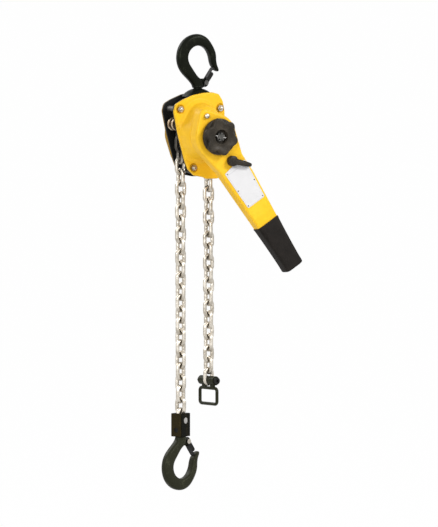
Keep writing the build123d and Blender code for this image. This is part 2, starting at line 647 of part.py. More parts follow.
def make_lever():
    """Two pressed shells that meet at mid-thickness, riveted at the tail and under the grip's end."""
    shell = fillet_ends(slab(head_outline(), HEAD_FRONT, HEAD_BACK), LEVER_EDGE_R)
    shell += leaned(fillet_ends(slab(arm_outline(), ARM_FRONT, ARM_BACK), LEVER_EDGE_R))
    shell -= slab(head_outline(SHELL_T), HEAD_FRONT + SHELL_T, HEAD_BACK - SHELL_T)
    shell -= leaned(slab(arm_outline(SHELL_T), ARM_FRONT + SHELL_T, ARM_BACK - SHELL_T))
    shell += rod(5.0, HEAD_FRONT + 1, HEAD_BACK - 1, *TAIL_RIVET)
    shell += leaned(rod(4.6, ARM_FRONT + 1, ARM_BACK - 1, *ARM_RIVET))
    shell -= rod(RIVET_R, -120, 0, *TAIL_RIVET)
    shell -= leaned(rod(RIVET_R, -120, -40, *ARM_RIVET))
    shell -= rod(15.0 + GAP, SPLIT_Y, -40)
    shell -= rod(12.0 + GAP, -120, SPLIT_Y)
    shell -= rod(6.0 + RUN, -120, SPLIT_Y, SELECTOR_S, 0)
    shell -= rod(4.0 + RUN, SPLIT_Y, -40, SELECTOR_S, 0)
    drop = (320 - ARM_BEND_S) * tan(radians(ARM_LEAN))
    ahead = [(-80, SPLIT_Y), (ARM_BEND_S, SPLIT_Y), (320, SPLIT_Y - drop), (320, -200), (-80, -200)]
    front_side = Pos(0, 0, -80) * extrude(outline(ahead), 160)
    save(on_arm(shell & front_side), "lever_front_shell")
    save(on_arm(shell - front_side), "lever_back_shell")
    stud = rod(RIVET_R, HEAD_FRONT, HEAD_BACK, *TAIL_RIVET)
    stud += rod(4.4, HEAD_FRONT - 5.0, HEAD_FRONT, *TAIL_RIVET)
    stud += domed_head(*TAIL_RIVET, HEAD_FRONT - 5.0, 4.4, 1.8)
    rivet = leaned(rod(RIVET_R, ARM_FRONT, ARM_BACK, *ARM_RIVET))
    save(Compound(children=[on_arm(stud), on_arm(rivet)]), "lever_rivets")


def domed_head(x, z, y, radius, height):
    """A rivet head standing forward of the plane at y."""
    big = (radius**2 + height**2) / (2 * height)
    ball = Pos(x, y - height + big, z) * Sphere(big)
    return ball & rod(radius, y - height, y, x, z)


def fillet_ends(solid, radius):
    """Rounds the outline edges of a slab on both of its flat sides."""
    faces = solid.faces().sort_by(Axis.Y)
    return fillet([*faces[0].edges(), *faces[-1].edges()], radius)


def make_grip():
    """The rubber sleeve pushed over the arm's end."""
    sections = []
    for along, half_width, half_thick in ((GRIP_FROM, 25.0, 15.2), (GRIP_TO, 19.6, 14.2)):
        plane = Plane(origin=(along, SPLIT_Y, 0), x_dir=(0, 0, 1), z_dir=(1, 0, 0))
        sections.append(plane * RectangleRounded(2 * half_width, 2 * half_thick, 9.0))
    grip = loft(sections, ruled=True)
    grip = fillet(grip.faces().sort_by(Axis.X)[-1].edges(), 4.0)
    grip = fillet(grip.faces().sort_by(Axis.X)[0].edges(), 1.5)
    grip -= fillet_ends(slab(arm_outline(), ARM_FRONT, ARM_BACK), LEVER_EDGE_R)
    save(on_arm(leaned(grip)), "lever_grip")


def make_label():
    """A plain plate with an arched top, riveted to the arm's front."""
    low, top, half = 145.0, 68.0, 24.6
    arch = ThreePointArc((top, -half), (top - 3.4, 0), (top, half))
    sides = Polyline((top, half), (low, half - 4.4), (low, 4.4 - half), (top, -half))
    plate = make_face([arch, sides])
    plate = fillet(plate.vertices().sort_by(Axis.X)[-2:], 3.0)
    rivets = []
    for along, across in LABEL_RIVETS:
        for side in (-1, 1):
            plate -= Pos(along, side * across) * Circle(1.3)
            stem = rod(1.3, ARM_FRONT - LABEL_T, ARM_FRONT, along, side * across)
            head = domed_head(along, side * across, ARM_FRONT - LABEL_T, 2.3, 1.0)
            rivets.append(on_arm(leaned(stem + head)))
    save(on_arm(leaned(slab(plate, ARM_FRONT - LABEL_T, ARM_FRONT))), "label_plate")
    save(Compound(children=rivets), "label_rivets")


def make_selector():
    """The selector lever on its spindle, and the change pawl that the spindle turns."""
    x, z = arm_point(SELECTOR_S)
    spin = Pos(x, 0, z) * Rot(0, LEVER_ANGLE - SELECTOR_SWUNG, 0)
    face = make_hull([*Circle(5.6).edges(), *(Pos(34.0, 0) * Circle(3.6)).edges()]) + Circle(9.6)
    lever = fillet_ends(slab(face, SELECTOR_FRONT, SELECTOR_FRONT + 4.6), 1.2)
    lever += rod(9.6, SELECTOR_FRONT + 2.0, HEAD_FRONT - 1.0)
    lever += rod(6.0, HEAD_FRONT - 2, HEAD_FRONT + SHELL_T)
    lever += rod(4.0, HEAD_FRONT, HEAD_BACK - 0.5)
    save(spin * lever, "selector_lever")
    toes = [
        (-17.0, 21.4), (-23.0, 18.4), (-12.6, 5.5), (-12.6, -5.5), (-23.0, -18.4), (-17.0, -21.4),
        (6.0, -9.5), (9.5, 0), (6.0, 9.5),
    ]
    pawl = slab(outline(toes), -85.0, -75.0) - rod(4.0 + RUN, -120, 0)
    save(Pos(x, 0, z) * Rot(0, LEVER_ANGLE - PAWL_SHARE * SELECTOR_SWUNG, 0) * pawl, "change_pawl")


def make_hand_wheel():
    """The wheel on the shaft's end: a round skirt behind and six lobes in front, with a slotted nut."""
    lobes = Circle(26.5)
    for number in range(WHEEL_LOBES):
        x, z = polar(WHEEL_R - 8.2, 360 / WHEEL_LOBES * number + WHEEL_TURN)
        lobes += Pos(x, z) * Circle(8.2)
    front = slab(lobes, WHEEL_FRONT, WHEEL_WAIST)
    valleys = [e for e in front.edges() if abs(e.length - abs(WHEEL_FRONT - WHEEL_WAIST)) < 0.01]
    front = fillet(valleys, 5.0)
    front = fillet(front.faces().sort_by(Axis.Y)[0].edges(), 2.2)
    skirt = rod(SKIRT_R, WHEEL_WAIST, WHEEL_BACK)
    wheel = front + fillet(skirt.edges().filter_by(GeomType.CIRCLE), 1.8)
    wheel -= rod(13.0, WHEEL_FRONT - 1, WHEEL_HUB_Y - 2.5)
    wheel -= rod(12.2, WHEEL_HUB_Y, WHEEL_BACK + 1)
    wheel -= rod(5.0, -130, -60)
    save(wheel, "hand_wheel")
    nut_y = WHEEL_HUB_Y - 2.5
    nut = hex_nut(15.0, 5.0, nut_y - 6.4, nut_y, 0, 0)
    for number in range(3):
        nut -= Rot(0, 60 * number + 12, 0) * Pos(0, nut_y - 5.4, 0) * Box(20, 2.2, 2.4)
    save(nut, "wheel_nut")
    save(split_pin(), "split_pin")


# --- bottom block and stop ------------------------------------------------------------------
def make_bottom():
    """The block in two halves with its bolt, nut and chain pin, and the load hook below it."""
    turn = Pos(LOAD_X, 0, 0) * Rot(0, 0, LOAD_TWIST)
    block = Pos(0, 0, (BLOCK_TOP + BLOCK_BOTTOM) / 2) * Box(BLOCK_X, BLOCK_Y, BLOCK_TOP - BLOCK_BOTTOM)
    block = fillet(block.edges(), 1.4)
    slot_low = LAST_LOAD_Z - CHAIN_P / 2 - CHAIN_D - 1.0
    slot_high = BLOCK_TOP + 2
    block -= Pos(0, 0, (slot_low + slot_high) / 2) * Box(LINK_W + 0.9, CHAIN_D + 1.0, slot_high - slot_low)
    block -= Pos(0, 0, BLOCK_TOP - 2) * Box(9.5, 19.4, 10)
    seat = BLOCK_BOTTOM
    collar_low, collar_high = seat + 4.0, seat + 8.6
    block -= post(6.3, seat - 1, collar_high + GAP)
    block -= post(9.0, collar_low - GAP, collar_high + GAP)
    bolt_z = seat + 12.2
    crosswise = Pos(0, 0, bolt_z) * Rot(0, 90, 0)
    block -= crosswise * Cylinder(2.2, 60)
    for side in (-1, 1):
        block -= crosswise * Pos(0, 0, side * BLOCK_X / 2) * Cylinder(4.6, 9.0)
    block -= rod(CHAIN_PIN_R, -30, 30, 0, CHAIN_PIN_Z)
    block -= rod(PIN_HEAD_R, -BLOCK_Y / 2 - 1, -BLOCK_Y / 2 + 2.4, 0, CHAIN_PIN_Z)
    half = Box(100, 100, 100)
    for name, side in (("left", -1), ("right", 1)):
        save(turn * (block & Pos(side * 50, 0, seat) * half), f"bottom_block_{name}")
    pin = rod(CHAIN_PIN_R, -BLOCK_Y / 2 + 0.8, BLOCK_Y / 2 - 0.8, 0, CHAIN_PIN_Z)
    pin += rod(PIN_HEAD_R, -BLOCK_Y / 2 + 0.4, -BLOCK_Y / 2 + 2.4, 0, CHAIN_PIN_Z)
    save(turn * pin, "chain_pin")
    head = Cylinder(4.2, 4.0) - Pos(0, 0, -1.5) * extrude(hexagon(3.4), 3, both=True)
    bolt = Cylinder(2.2, BLOCK_X - 2.0) + Pos(0, 0, 2.5 - BLOCK_X / 2) * head
    save(turn * crosswise * bolt, "block_bolt")
    nut = extrude(hexagon(7.4), 3.2) - Cylinder(2.2, 20)
    save(turn * crosswise * Pos(0, 0, BLOCK_X / 2 - 4.4) * nut, "block_nut")
    bowl_z = seat - GAP - HOOK_TO_SEAT
    here = Pos(LOAD_X, 0, bowl_z) * Rot(0, 0, BOTTOM_HOOK_TURN) * Rot(180, 0, 0)
    shank = post(6.0, -HOOK_TO_SEAT - 8.0, -HOOK_TO_SEAT + 1)
    shank += post(8.6, -HOOK_TO_SEAT - 4.6 - 4.0, -HOOK_TO_SEAT - 4.0 - GAP)
    save(here * hook_solid(shank), "bottom_hook")
    save(here * latch(), "bottom_latch")
    save(here * latch_pin(), "bottom_latch_pin")
    save(here * latch_spring(), "bottom_latch_spring")


def make_stop():
    """The slack end's stop: two sleeves on a bolt through the last link, with a wire ring below."""
    stop_z = SLACK_TOP_Z - (SLACK_LINKS - 1) * CHAIN_P - CHAIN_P / 2 + STOP_BOLT_R + 0.15
    turn = Pos(SLACK_X, 0, stop_z) * Rot(0, 0, SLACK_TWIST)
    bar_z = -14.2
    ring = Pos(0, 0, bar_z - RING_HIGH / 2) * ring_solid(RING_WIDE, RING_HIGH, 5.5, RING_WIRE)
    for side in (-1, 1):
        ring += rod(SLEEVE_R, side * 4.2, side * 21.0)
        ring += Pos(0, side * 11.5, bar_z + 4.0) * Box(4.4, 10, 6.5)
    ring -= rod(STOP_BOLT_R + RUN, -40, 40)
    save(turn * ring, "stop_ring")
    bolt = rod(STOP_BOLT_R, -22.0, 24.5) + rod(6.4, -25.2, -21.3)
    bolt -= slab(hexagon(5.0), -30, -23.0)
    save(turn * bolt, "stop_bolt")
    save(turn * hex_nut(10.0, STOP_BOLT_R, 21.3, 25.8, 0, 0), "stop_nut")


def ring_solid(width, height, corner, wire):
    """A rectangular ring of round wire in the YZ plane, about the origin."""
    y_mid, z_mid = width / 2 - corner, height / 2 - corner
    pieces = []
    for side in (-1, 1):
        pieces.append(Pos(0, side * width / 2, 0) * Cylinder(wire, 2 * z_mid))
        pieces.append(Pos(0, 0, side * height / 2) * Rot(90, 0, 0) * Cylinder(wire, 2 * y_mid))
    quarter = Plane.YZ * bent_wire(corner, wire, 90)
    for number, (y, z) in enumerate(((1, 1), (-1, 1), (-1, -1), (1, -1))):
        turned = Rot(90 * number, 0, 0) * quarter
        pieces.append(Pos(0, y * y_mid, z * z_mid) * turned)
    ring = pieces[0]
    for piece in pieces[1:]:
        ring += piece
    return ring


def main():
    os.makedirs("parts", exist_ok=True)
    make_chain()
    make_top_hook()
    make_yoke()
    make_side_plates()
    make_stays()
    make_rollers()
    make_guide()
    make_cover()
    make_sheave()
    make_disk_gears()
    make_gear_case()
    make_drive()
    make_pawls()
    make_lever()
    make_grip()
    make_label()
    make_selector()
    make_hand_wheel()
    make_bottom()
    make_stop()


main()
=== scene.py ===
import json
import logging
import math
from dataclasses import dataclass
from enum import Enum
from functools import reduce
from operator import add
from typing import Any, Sequence, Union

import bmesh
import bpy
import numpy as np
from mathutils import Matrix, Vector


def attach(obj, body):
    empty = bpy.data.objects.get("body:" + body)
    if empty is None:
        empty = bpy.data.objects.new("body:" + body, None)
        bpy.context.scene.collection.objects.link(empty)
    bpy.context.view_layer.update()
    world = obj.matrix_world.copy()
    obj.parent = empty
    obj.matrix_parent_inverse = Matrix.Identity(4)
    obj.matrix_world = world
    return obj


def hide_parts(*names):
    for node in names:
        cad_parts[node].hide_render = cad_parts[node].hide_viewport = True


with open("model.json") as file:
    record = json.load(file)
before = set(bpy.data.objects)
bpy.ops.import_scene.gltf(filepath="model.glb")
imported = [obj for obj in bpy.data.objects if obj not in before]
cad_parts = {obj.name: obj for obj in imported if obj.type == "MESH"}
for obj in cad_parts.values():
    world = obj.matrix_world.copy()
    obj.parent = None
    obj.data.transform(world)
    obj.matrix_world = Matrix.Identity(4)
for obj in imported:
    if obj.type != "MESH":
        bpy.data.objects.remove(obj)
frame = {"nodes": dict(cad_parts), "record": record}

log = logging.getLogger("hoist")

Operand = Union["Value", float, int]
Colour = tuple[float, float, float]
Pair = tuple[float, float]

# The load sheave's axis runs along Y through this point of the frame; the chain hangs in the plane Y = 0.
SHEAVE = np.array([-0.0095, 0.0, -0.1415])

# The lever's arm hangs turned by this many degrees about the shaft, and from its bend on it leans outward.
ARM_TURN = 58.0
ARM_LEAN = -5.8
ARM_BEND = (52.0, -80.25)

# The rays that carry what the camera sees.
SEEN_BY = ("Camera", "Glossy", "Transmission")

# X and Z of the three stay bolts, in millimetres from the sheave's axis.
STAYS = ((-41.3, 48.5), (42.2, 49.0), (-13.3, -59.7))


def shade(colour: Colour, share: float) -> Colour:
    """A share of a colour."""
    return tuple(part * share for part in colour)


# --- shader expressions -----------------------------------------------------------------------
class Value:
    """A number socket of a node tree that takes part in Python expressions."""

    def __init__(self, tree: "NodeTree", socket: bpy.types.NodeSocket) -> None:
        """Wraps an output socket of a tree."""
        self.tree = tree
        self.socket = socket

    def _with(self, operation: str, other: Operand, swapped: bool = False) -> "Value":
        """Adds a Math node on this value and another.

        Args:
            operation: the Math node's operation.
            other: the second value.
            swapped: whether the other value comes first.

        Returns:
            The Math node's result.
        """
        first, second = (other, self) if swapped else (self, other)
        node = self.tree.node("ShaderNodeMath", {0: first, 1: second}, operation=operation)
        return Value(self.tree, node.outputs[0])

    def __add__(self, other: Operand) -> "Value":
        """This value plus another."""
        return self._with("ADD", other)

    def __radd__(self, other: float) -> "Value":
        """A number plus this value."""
        return self._with("ADD", other)

    def __sub__(self, other: Operand) -> "Value":
        """This value minus another."""
        return self._with("SUBTRACT", other)

    def __rsub__(self, other: float) -> "Value":
        """A number minus this value."""
        return self._with("SUBTRACT", other, swapped=True)

    def __mul__(self, other: Operand) -> "Value":
        """This value times another."""
        return self._with("MULTIPLY", other)

    def __rmul__(self, other: float) -> "Value":
        """A number times this value."""
        return self._with("MULTIPLY", other)

    def __truediv__(self, other: Operand) -> "Value":
        """This value over another."""
        return self._with("DIVIDE", other)

    def larger(self, other: Operand) -> "Value":
        """The larger of this value and another."""
        return self._with("MAXIMUM", other)

    def size(self) -> "Value":
        """This value without its sign."""
        return self._with("ABSOLUTE", 0.0)

    def over(self, edge: float, softness: float) -> "Value":
        """Rises smoothly from 0 to 1 as this value passes an edge.

        Args:
            edge: the value at which the result is one half.
            softness: how far on each side of the edge the rise reaches.

        Returns:
            A mask from 0 to 1.
        """
        ends = {"Value": self, "From Min": edge - softness, "From Max": edge + softness}
        node = self.tree.node("ShaderNodeMapRange", ends, interpolation_type="SMOOTHSTEP")
        return Value(self.tree, node.outputs["Result"])


class NodeTree:
    """A node tree whose nodes are added through one method."""

    def __init__(self, tree: bpy.types.NodeTree) -> None:
        """Takes the tree of a material or of the world, and empties it."""
        self.tree = tree
        self.tree.nodes.clear()

    def node(self, kind: str, sockets: dict[Any, Any], **settings: Any) -> bpy.types.Node:
        """Adds a node.

        Args:
            kind: the node's type.
            sockets: a value, a Value, or a socket to link, for each input's name or number.
            settings: its properties, set before its sockets.

        Returns:
            The new node.
        """
        made = self.tree.nodes.new(kind)
        for name, value in settings.items():
            setattr(made, name, value)
        for name, value in sockets.items():
            self.put(made, name, value)
        return made

    def put(self, node: bpy.types.Node, name: Any, value: Any) -> None:
        """Sets or links one input of a node.

        Args:
            node: the node.
            name: the input's name or number.
            value: a number, a colour, a Value or a socket.
        """
        target = node.inputs[name]
        if isinstance(value, Value):
            self.tree.links.new(value.socket, target)
        elif isinstance(value, bpy.types.NodeSocket):
            self.tree.links.new(value, target)
        elif isinstance(value, tuple) and len(value) == 3 and target.type == "RGBA":
            target.default_value = (*value, 1.0)
        else:
            target.default_value = value

    def seen(self) -> Value:
        """1 for rays from the camera, straight or by way of metal or glass, and 0 for others."""
        path = self.node("ShaderNodeLightPath", {})
        return reduce(Value.larger, (Value(self, path.outputs[f"Is {ray} Ray"]) for ray in SEEN_BY))


class Shader(NodeTree):
    """A material with a Principled shader."""

    def __init__(self, name: str) -> None:
        """Starts a node material with an output and a Principled shader.

        Args:
            name: the material's name.
        """
        self.material = bpy.data.materials.new(name)
        self.material.use_nodes = True
        super().__init__(self.material.node_tree)
        self.principled = self.node("ShaderNodeBsdfPrincipled", {})
        self.output = self.node("ShaderNodeOutputMaterial", {"Surface": self.principled.outputs[0]})
        self._position: Union[bpy.types.NodeSocket, None] = None

    @property
    def position(self) -> bpy.types.NodeSocket:
        """The point being shaded, in the object's own metres."""
        self._position = self._position or self.node("ShaderNodeTexCoord", {}).outputs["Object"]
        return self._position

    def facing(self, axis: int) -> Value:
        """How far the surface faces along one of the object's own axes, numbered from 0: from -1 to 1."""
        return self.part_of(self.node("ShaderNodeTexCoord", {}).outputs["Normal"], axis)

    def part_of(self, vector: bpy.types.NodeSocket, axis: int) -> Value:
        """The part of a vector along one axis, numbered from 0."""
        return Value(self, self.node("ShaderNodeSeparateXYZ", {0: vector}).outputs[axis])

    def noise(self, scale: float, detail: float = 3.0, rough: float = 0.55) -> Value:
        """Cloudy noise about one half: clouds per metre, octaves, and how strong the finer ones are."""
        sockets = {"Vector": self.position, "Scale": scale, "Detail": detail, "Roughness": rough}
        return Value(self, self.node("ShaderNodeTexNoise", sockets).outputs["Fac"])

    def cells(self, scale: float) -> Value:
        """Distance to the nearest of many scattered points, so many per metre, for pits and grains."""
        sockets = {"Vector": self.position, "Scale": scale}
        return Value(self, self.node("ShaderNodeTexVoronoi", sockets).outputs["Distance"])

    def hollow(self, reach: float) -> Value:
        """How open the surface is, within so many metres: 1 in the open, towards 0 in folds and corners."""
        node = self.node("ShaderNodeAmbientOcclusion", {"Distance": reach}, samples=8)
        return Value(self, node.outputs["AO"])

    def blend(self, mask: Operand, low: Any, high: Any) -> bpy.types.NodeSocket:
        """A colour between two others, each a colour or a socket: the low one where the mask is 0."""
        return self.node("ShaderNodeMix", {0: mask, 6: low, 7: high}, data_type="RGBA").outputs[2]

    def relief(self, height: Value, depth: float, strength: float) -> bpy.types.NodeSocket:
        """A normal bumped by a height from 0 to 1, over a depth in metres, and how much of it shows."""
        sockets = {"Height": height, "Distance": depth, "Strength": strength}
        return self.node("ShaderNodeBump", sockets).outputs["Normal"]

    def finish(self, **sockets: Any) -> bpy.types.Material:
        """Sets the Principled shader's sockets and gives the material.

        Args:
            sockets: values by socket name, with underscores for spaces.

        Returns:
            The finished material.
        """
        for name, value in sockets.items():
            self.put(self.principled, name.replace("_", " "), value)
        return self.material


# --- finishes -----------------------------------------------------------------------------------
@dataclass(frozen=True)
class PowderCoat:
    """Satin powder coat on pressed steel, with painted shade in its folds and corners, worn at a few specks.

    Its side walls, which face away from the Y axis, are darkened by painted shade, as strongly as its last
    field says.
    """

    name: str
    colour: Colour
    # The darker tone of the painted shade in folds and corners, also mixed in at random as mottle.
    shade_tone: Colour
    roughness: float = 0.40
    scuff: Colour = (0.42, 0.28, 0.05)
    shine: float = 0.15
    # How much painted shade darkens the side walls.
    side_shade: float = 0.0

    def material(self) -> bpy.types.Material:
        """Builds the material.

        Returns:
            The material.
        """
        shader = Shader(self.name)
        cloud = shader.noise(22.0, 2.0)
        mottle = shader.noise(130.0, 4.0, 0.6)
        open_air = shader.hollow(0.022)
        pale = tuple(min(1.0, c * 1.05 + 0.01) for c in self.colour)
        base = shader.blend(cloud.over(0.52, 0.25), self.colour, pale)
        tinted = shader.blend(mottle.over(0.46, 0.22) * 0.22, base, self.shade_tone)
        # Painted shade: the colour darkens towards the darker tone where ambient occlusion finds folds and
        # hollows.
        fold_shaded = shader.blend(open_air.over(0.50, 0.42), self.shade_tone, tinted)
        # Painted shade: near-black lines where surfaces nearly meet, as round the nuts in their cups.
        contact = shader.hollow(0.0028)
        shaded = shader.blend(contact.over(0.42, 0.25), shade(self.shade_tone, 0.22), fold_shaded)
        # Painted shade: walls that face away from the Y axis darken, broken up by the cloud.
        walls = (1.0 - shader.facing(1).size()).over(0.45, 0.35) * self.side_shade
        wall_shaded = shader.blend(walls * (0.7 + 0.6 * cloud), shaded, shade(self.shade_tone, 0.26))
        marks = shader.noise(210.0, 6.0, 0.7).over(0.70, 0.03) * shader.noise(35.0, 2.0).over(0.56, 0.08)
        peel = shader.noise(420.0, 2.0, 0.4)
        return shader.finish(
            Base_Color=shader.blend(marks * 0.5, wall_shaded, self.scuff),
            Roughness=self.roughness + 0.14 * cloud + 0.2 * marks,
            Normal=shader.relief(peel, 0.00012, 0.25),
            Specular_IOR_Level=self.shine,
            Coat_Weight=0.06,
            Coat_Roughness=0.2,
        )


@dataclass(frozen=True)
class ForgedSteel:
    """Black oxide over a forged skin: scale in broad patches, fine pits, worn brighter on the high places.

    The side that faces down the X axis gets a painted highlight, as strong as its side field says.
    """

    name: str
    colour: Colour
    wear_and_highlight: Colour
    roughness: float
    shine: float
    # How much painted highlight lightens the side that faces down the X axis.
    side: float = 0.0

    def material(self) -> bpy.types.Material:
        """Builds the material.

        Returns:
            The material.
        """
        shader = Shader(self.name)
        patch = shader.noise(60.0, 5.0, 0.6)
        pit = shader.cells(900.0)
        skin = shader.noise(380.0, 4.0, 0.6)
        rub = (patch * 0.6 + skin * 0.4).over(0.60, 0.08)
        # Painted highlight: the side that faces down the X axis is lightened by the side field, over the
        # random wear.
        wear_and_highlight_mask = rub * 0.6 + shader.facing(0).over(-0.6, 0.2) * -self.side + self.side
        return shader.finish(
            Base_Color=shader.blend(wear_and_highlight_mask, self.colour, self.wear_and_highlight),
            Roughness=self.roughness + 0.22 * patch - 0.08 * rub,
            Specular_IOR_Level=self.shine,
            Specular_Tint=(0.86, 0.92, 0.74),
            Normal=shader.relief(skin * 0.7 + pit * 0.3, 0.0006, 0.5),
        )


@dataclass(frozen=True)
class PlatedSteel:
    """Bright plate over drawn or machined steel, with tiny flow marks, dull patches and painted shade in its
    corners.

    Above the height in its last field it is darkened by painted shade, as deep inside the hoist's housing.
    """

    name: str
    colour: Colour
    dull: Colour
    roughness: float = 0.26
    # Height in metres above which painted shade darkens the steel; 9 m leaves it unshaded.
    housing_shade_from: float = 9.0

    def material(self) -> bpy.types.Material:
        """Builds the material.

        Returns:
            The material.
        """
        shader = Shader(self.name)
        patch = shader.noise(90.0, 4.0, 0.6)
        grain = shader.noise(1400.0, 3.0, 0.6)
        corner_shade_mask = shader.hollow(0.004)
        plate = shader.blend(patch.over(0.5, 0.2), self.dull, self.colour)
        # Painted shade: above a set height the steel darkens and roughens, as deep inside the housing.
        oiled = (shader.part_of(shader.position, 2) + 0.02 * patch).over(self.housing_shade_from, 0.02)
        # Painted shade: corners and places where surfaces nearly meet darken towards the dull colour.
        corner_shaded = shader.blend(corner_shade_mask.over(0.38, 0.38), shade(self.dull, 0.30), plate)
        return shader.finish(
            Base_Color=shader.blend(oiled, corner_shaded, shade(self.dull, 0.16)),
            Metallic=1.0,
            Roughness=self.roughness + 0.20 * patch + 0.10 * grain + 0.12 * oiled,
            Normal=shader.relief(grain, 0.00008, 0.35),
        )


@dataclass(frozen=True)
class MouldedPlastic:
    """Moulded plastic or rubber with a spark-eroded texture, a faint bloom, and paler, worn high spots."""

    name: str
    colour: Colour
    bloom: Colour
    roughness: float
    grain: float = 1500.0
    depth: float = 0.00015
    shine: float = 0.10

    def material(self) -> bpy.types.Material:
        """Builds the material.

        Returns:
            The material.
        """
        shader = Shader(self.name)
        cloud = shader.noise(45.0, 3.0)
        speck = shader.noise(520.0, 4.0, 0.6).over(0.62, 0.06)
        texture = shader.noise(self.grain, 2.0, 0.5)
        bloomed = shader.blend(cloud.over(0.52, 0.2) * 0.6, self.colour, self.bloom)
        return shader.finish(
            Base_Color=shader.blend(speck * 0.35, bloomed, shade(self.bloom, 1.8)),
            Roughness=self.roughness + 0.12 * cloud + 0.08 * speck,
            Specular_IOR_Level=self.shine,
            Normal=shader.relief(texture, self.depth, 0.5),
        )


@dataclass(frozen=True)
class PaintedPlate:
    """A plain white enamelled plate with a faint grey frame, faintly mottled, with no markings."""

    name: str
    colour: Colour
    frame: Colour
    seat: tuple[float, float, float]
    half: Pair
    taper: float
    band: Pair = (0.86, 0.885)

    def material(self) -> bpy.types.Material:
        """Builds the material, the frame drawn between two outlines of the plate in its own turned plane.

        The plate's own axes are the frame's X and Z turned by the arm's angle; the frame is the band in which
        the larger of |along| / half length and |across| / half width lies between two limits.

        Returns:
            The material.
        """
        shader = Shader(self.name)
        cloud = shader.noise(60.0, 3.0)
        ends = {0: shader.position, 1: self.seat}
        centred = shader.node("ShaderNodeVectorMath", ends, operation="SUBTRACT")
        placed = {"Vector": centred.outputs[0], "Angle": math.radians(-ARM_TURN)}
        turned = shader.node("ShaderNodeVectorRotate", placed, rotation_type="Y_AXIS")
        along = shader.part_of(turned.outputs[0], 0)
        across = shader.part_of(turned.outputs[0], 2).size() / (self.half[1] - self.taper * along)
        reach = (along.size() / self.half[0]).larger(across)
        band = reach.over(self.band[0], 0.012) - reach.over(self.band[1], 0.012)
        mottled = shader.blend(cloud.over(0.58, 0.2) * 0.3, self.colour, shade(self.colour, 0.9))
        return shader.finish(
            Base_Color=shader.blend(band * 0.35, mottled, self.frame),
            Roughness=0.34 + 0.15 * cloud,
            Normal=shader.relief(shader.noise(300.0, 2.0), 0.00005, 0.2),
        )


class Finish(Enum):
    """The finishes of the hoist's pieces."""

    YELLOW = PowderCoat("yellow powder coat", (0.86, 0.505, 0.015), (0.60, 0.31, 0.010))
    # The gear case's yellow coat, with painted shade on its side walls.
    SOILED = PowderCoat("soiled yellow coat", (0.86, 0.505, 0.015), (0.60, 0.31, 0.010), side_shade=0.75)
    BLACK_COAT = PowderCoat("black powder coat", (0.007, 0.007, 0.006), (0.003, 0.003, 0.003), 0.42,
                            (0.05, 0.05, 0.045), 0.08)
    FORGED = ForgedSteel("forged black steel", (0.0052, 0.0060, 0.0040), (0.026, 0.029, 0.018), 0.20, 0.07)
    OLIVE = ForgedSteel("forged olive steel", (0.020, 0.0205, 0.0118), (0.064, 0.066, 0.040), 0.26, 0.10)
    # The bottom block's steel, with a painted highlight on the side that faces down the X axis.
    BLOCK = ForgedSteel("rubbed black steel", (0.003, 0.003, 0.002), (0.050, 0.036, 0.013), 0.34, 0.05, 0.45)
    # The chain, with painted shade on its links high in the housing.
    CHAIN = PlatedSteel("chain plate", (0.76, 0.71, 0.63), (0.46, 0.415, 0.345), 0.22, housing_shade_from=-0.176)
    ZINC = PlatedSteel("bright zinc", (0.66, 0.625, 0.56), (0.42, 0.385, 0.33), 0.22)
    MACHINED = PlatedSteel("machined steel", (0.55, 0.54, 0.52), (0.36, 0.35, 0.33), 0.30)
    SPRING = PlatedSteel("spring wire", (0.30, 0.30, 0.30), (0.16, 0.16, 0.16), 0.34)
    OILED = PlatedSteel("oiled steel", (0.66, 0.55, 0.40), (0.30, 0.21, 0.13), 0.28)
    DARK_PIN = PlatedSteel("blackened pin", (0.16, 0.15, 0.14), (0.07, 0.07, 0.065), 0.36)
    LINING = MouldedPlastic("friction lining", (0.11, 0.075, 0.05), (0.20, 0.15, 0.10), 0.80, 900.0, 0.0003)
    PLASTIC = MouldedPlastic("moulded black plastic", (0.021, 0.0175, 0.0130), (0.056, 0.046, 0.034), 0.34,
                             shine=0.13)
    RUBBER = MouldedPlastic("black rubber", (0.0090, 0.0074, 0.0062), (0.020, 0.0165, 0.014), 0.52,
                            1100.0, 0.0003)
    LABEL = PaintedPlate("white plate", (0.62, 0.615, 0.62), (0.30, 0.30, 0.32), (0.0471, -0.099, -0.2319),
                         (0.0405, 0.0236), 0.057)

    @property
    def made(self) -> bpy.types.Material:
        """The finish's material, built at its first use."""
        found = bpy.data.materials.get(self.value.name)
        return found or self.value.material()


# Each material slot's finish.
SLOT_FINISH = {
    "forged_black": Finish.FORGED,
    "black_paint": Finish.BLACK_COAT,
    "yellow_paint": Finish.YELLOW,
    "zinc_steel": Finish.ZINC,
    "chain_steel": Finish.CHAIN,
    "bare_steel": Finish.MACHINED,
    "friction": Finish.LINING,
    "black_plastic": Finish.PLASTIC,
    "grip_rubber": Finish.RUBBER,
    "label_white": Finish.LABEL,
    "spring_steel": Finish.SPRING,
}

# Nodes whose finish is a variant of their slot's.
VARIANTS = {
    Finish.DARK_PIN: ("top_latch_pin", "label_rivets", "stay_spacers", "wheel_nut", "drive_shaft"),
    Finish.OILED: ("guide_roller_left", "guide_roller_right"),
    Finish.BLOCK: ("bottom_block_left", "bottom_block_right"),
    Finish.OLIVE: ("stop_ring",),
    Finish.MACHINED: ("split_pin",),
    Finish.SOILED: ("gear_case",),
}
NODE_FINISH = {node: finish for finish, nodes in VARIANTS.items() for node in nodes}


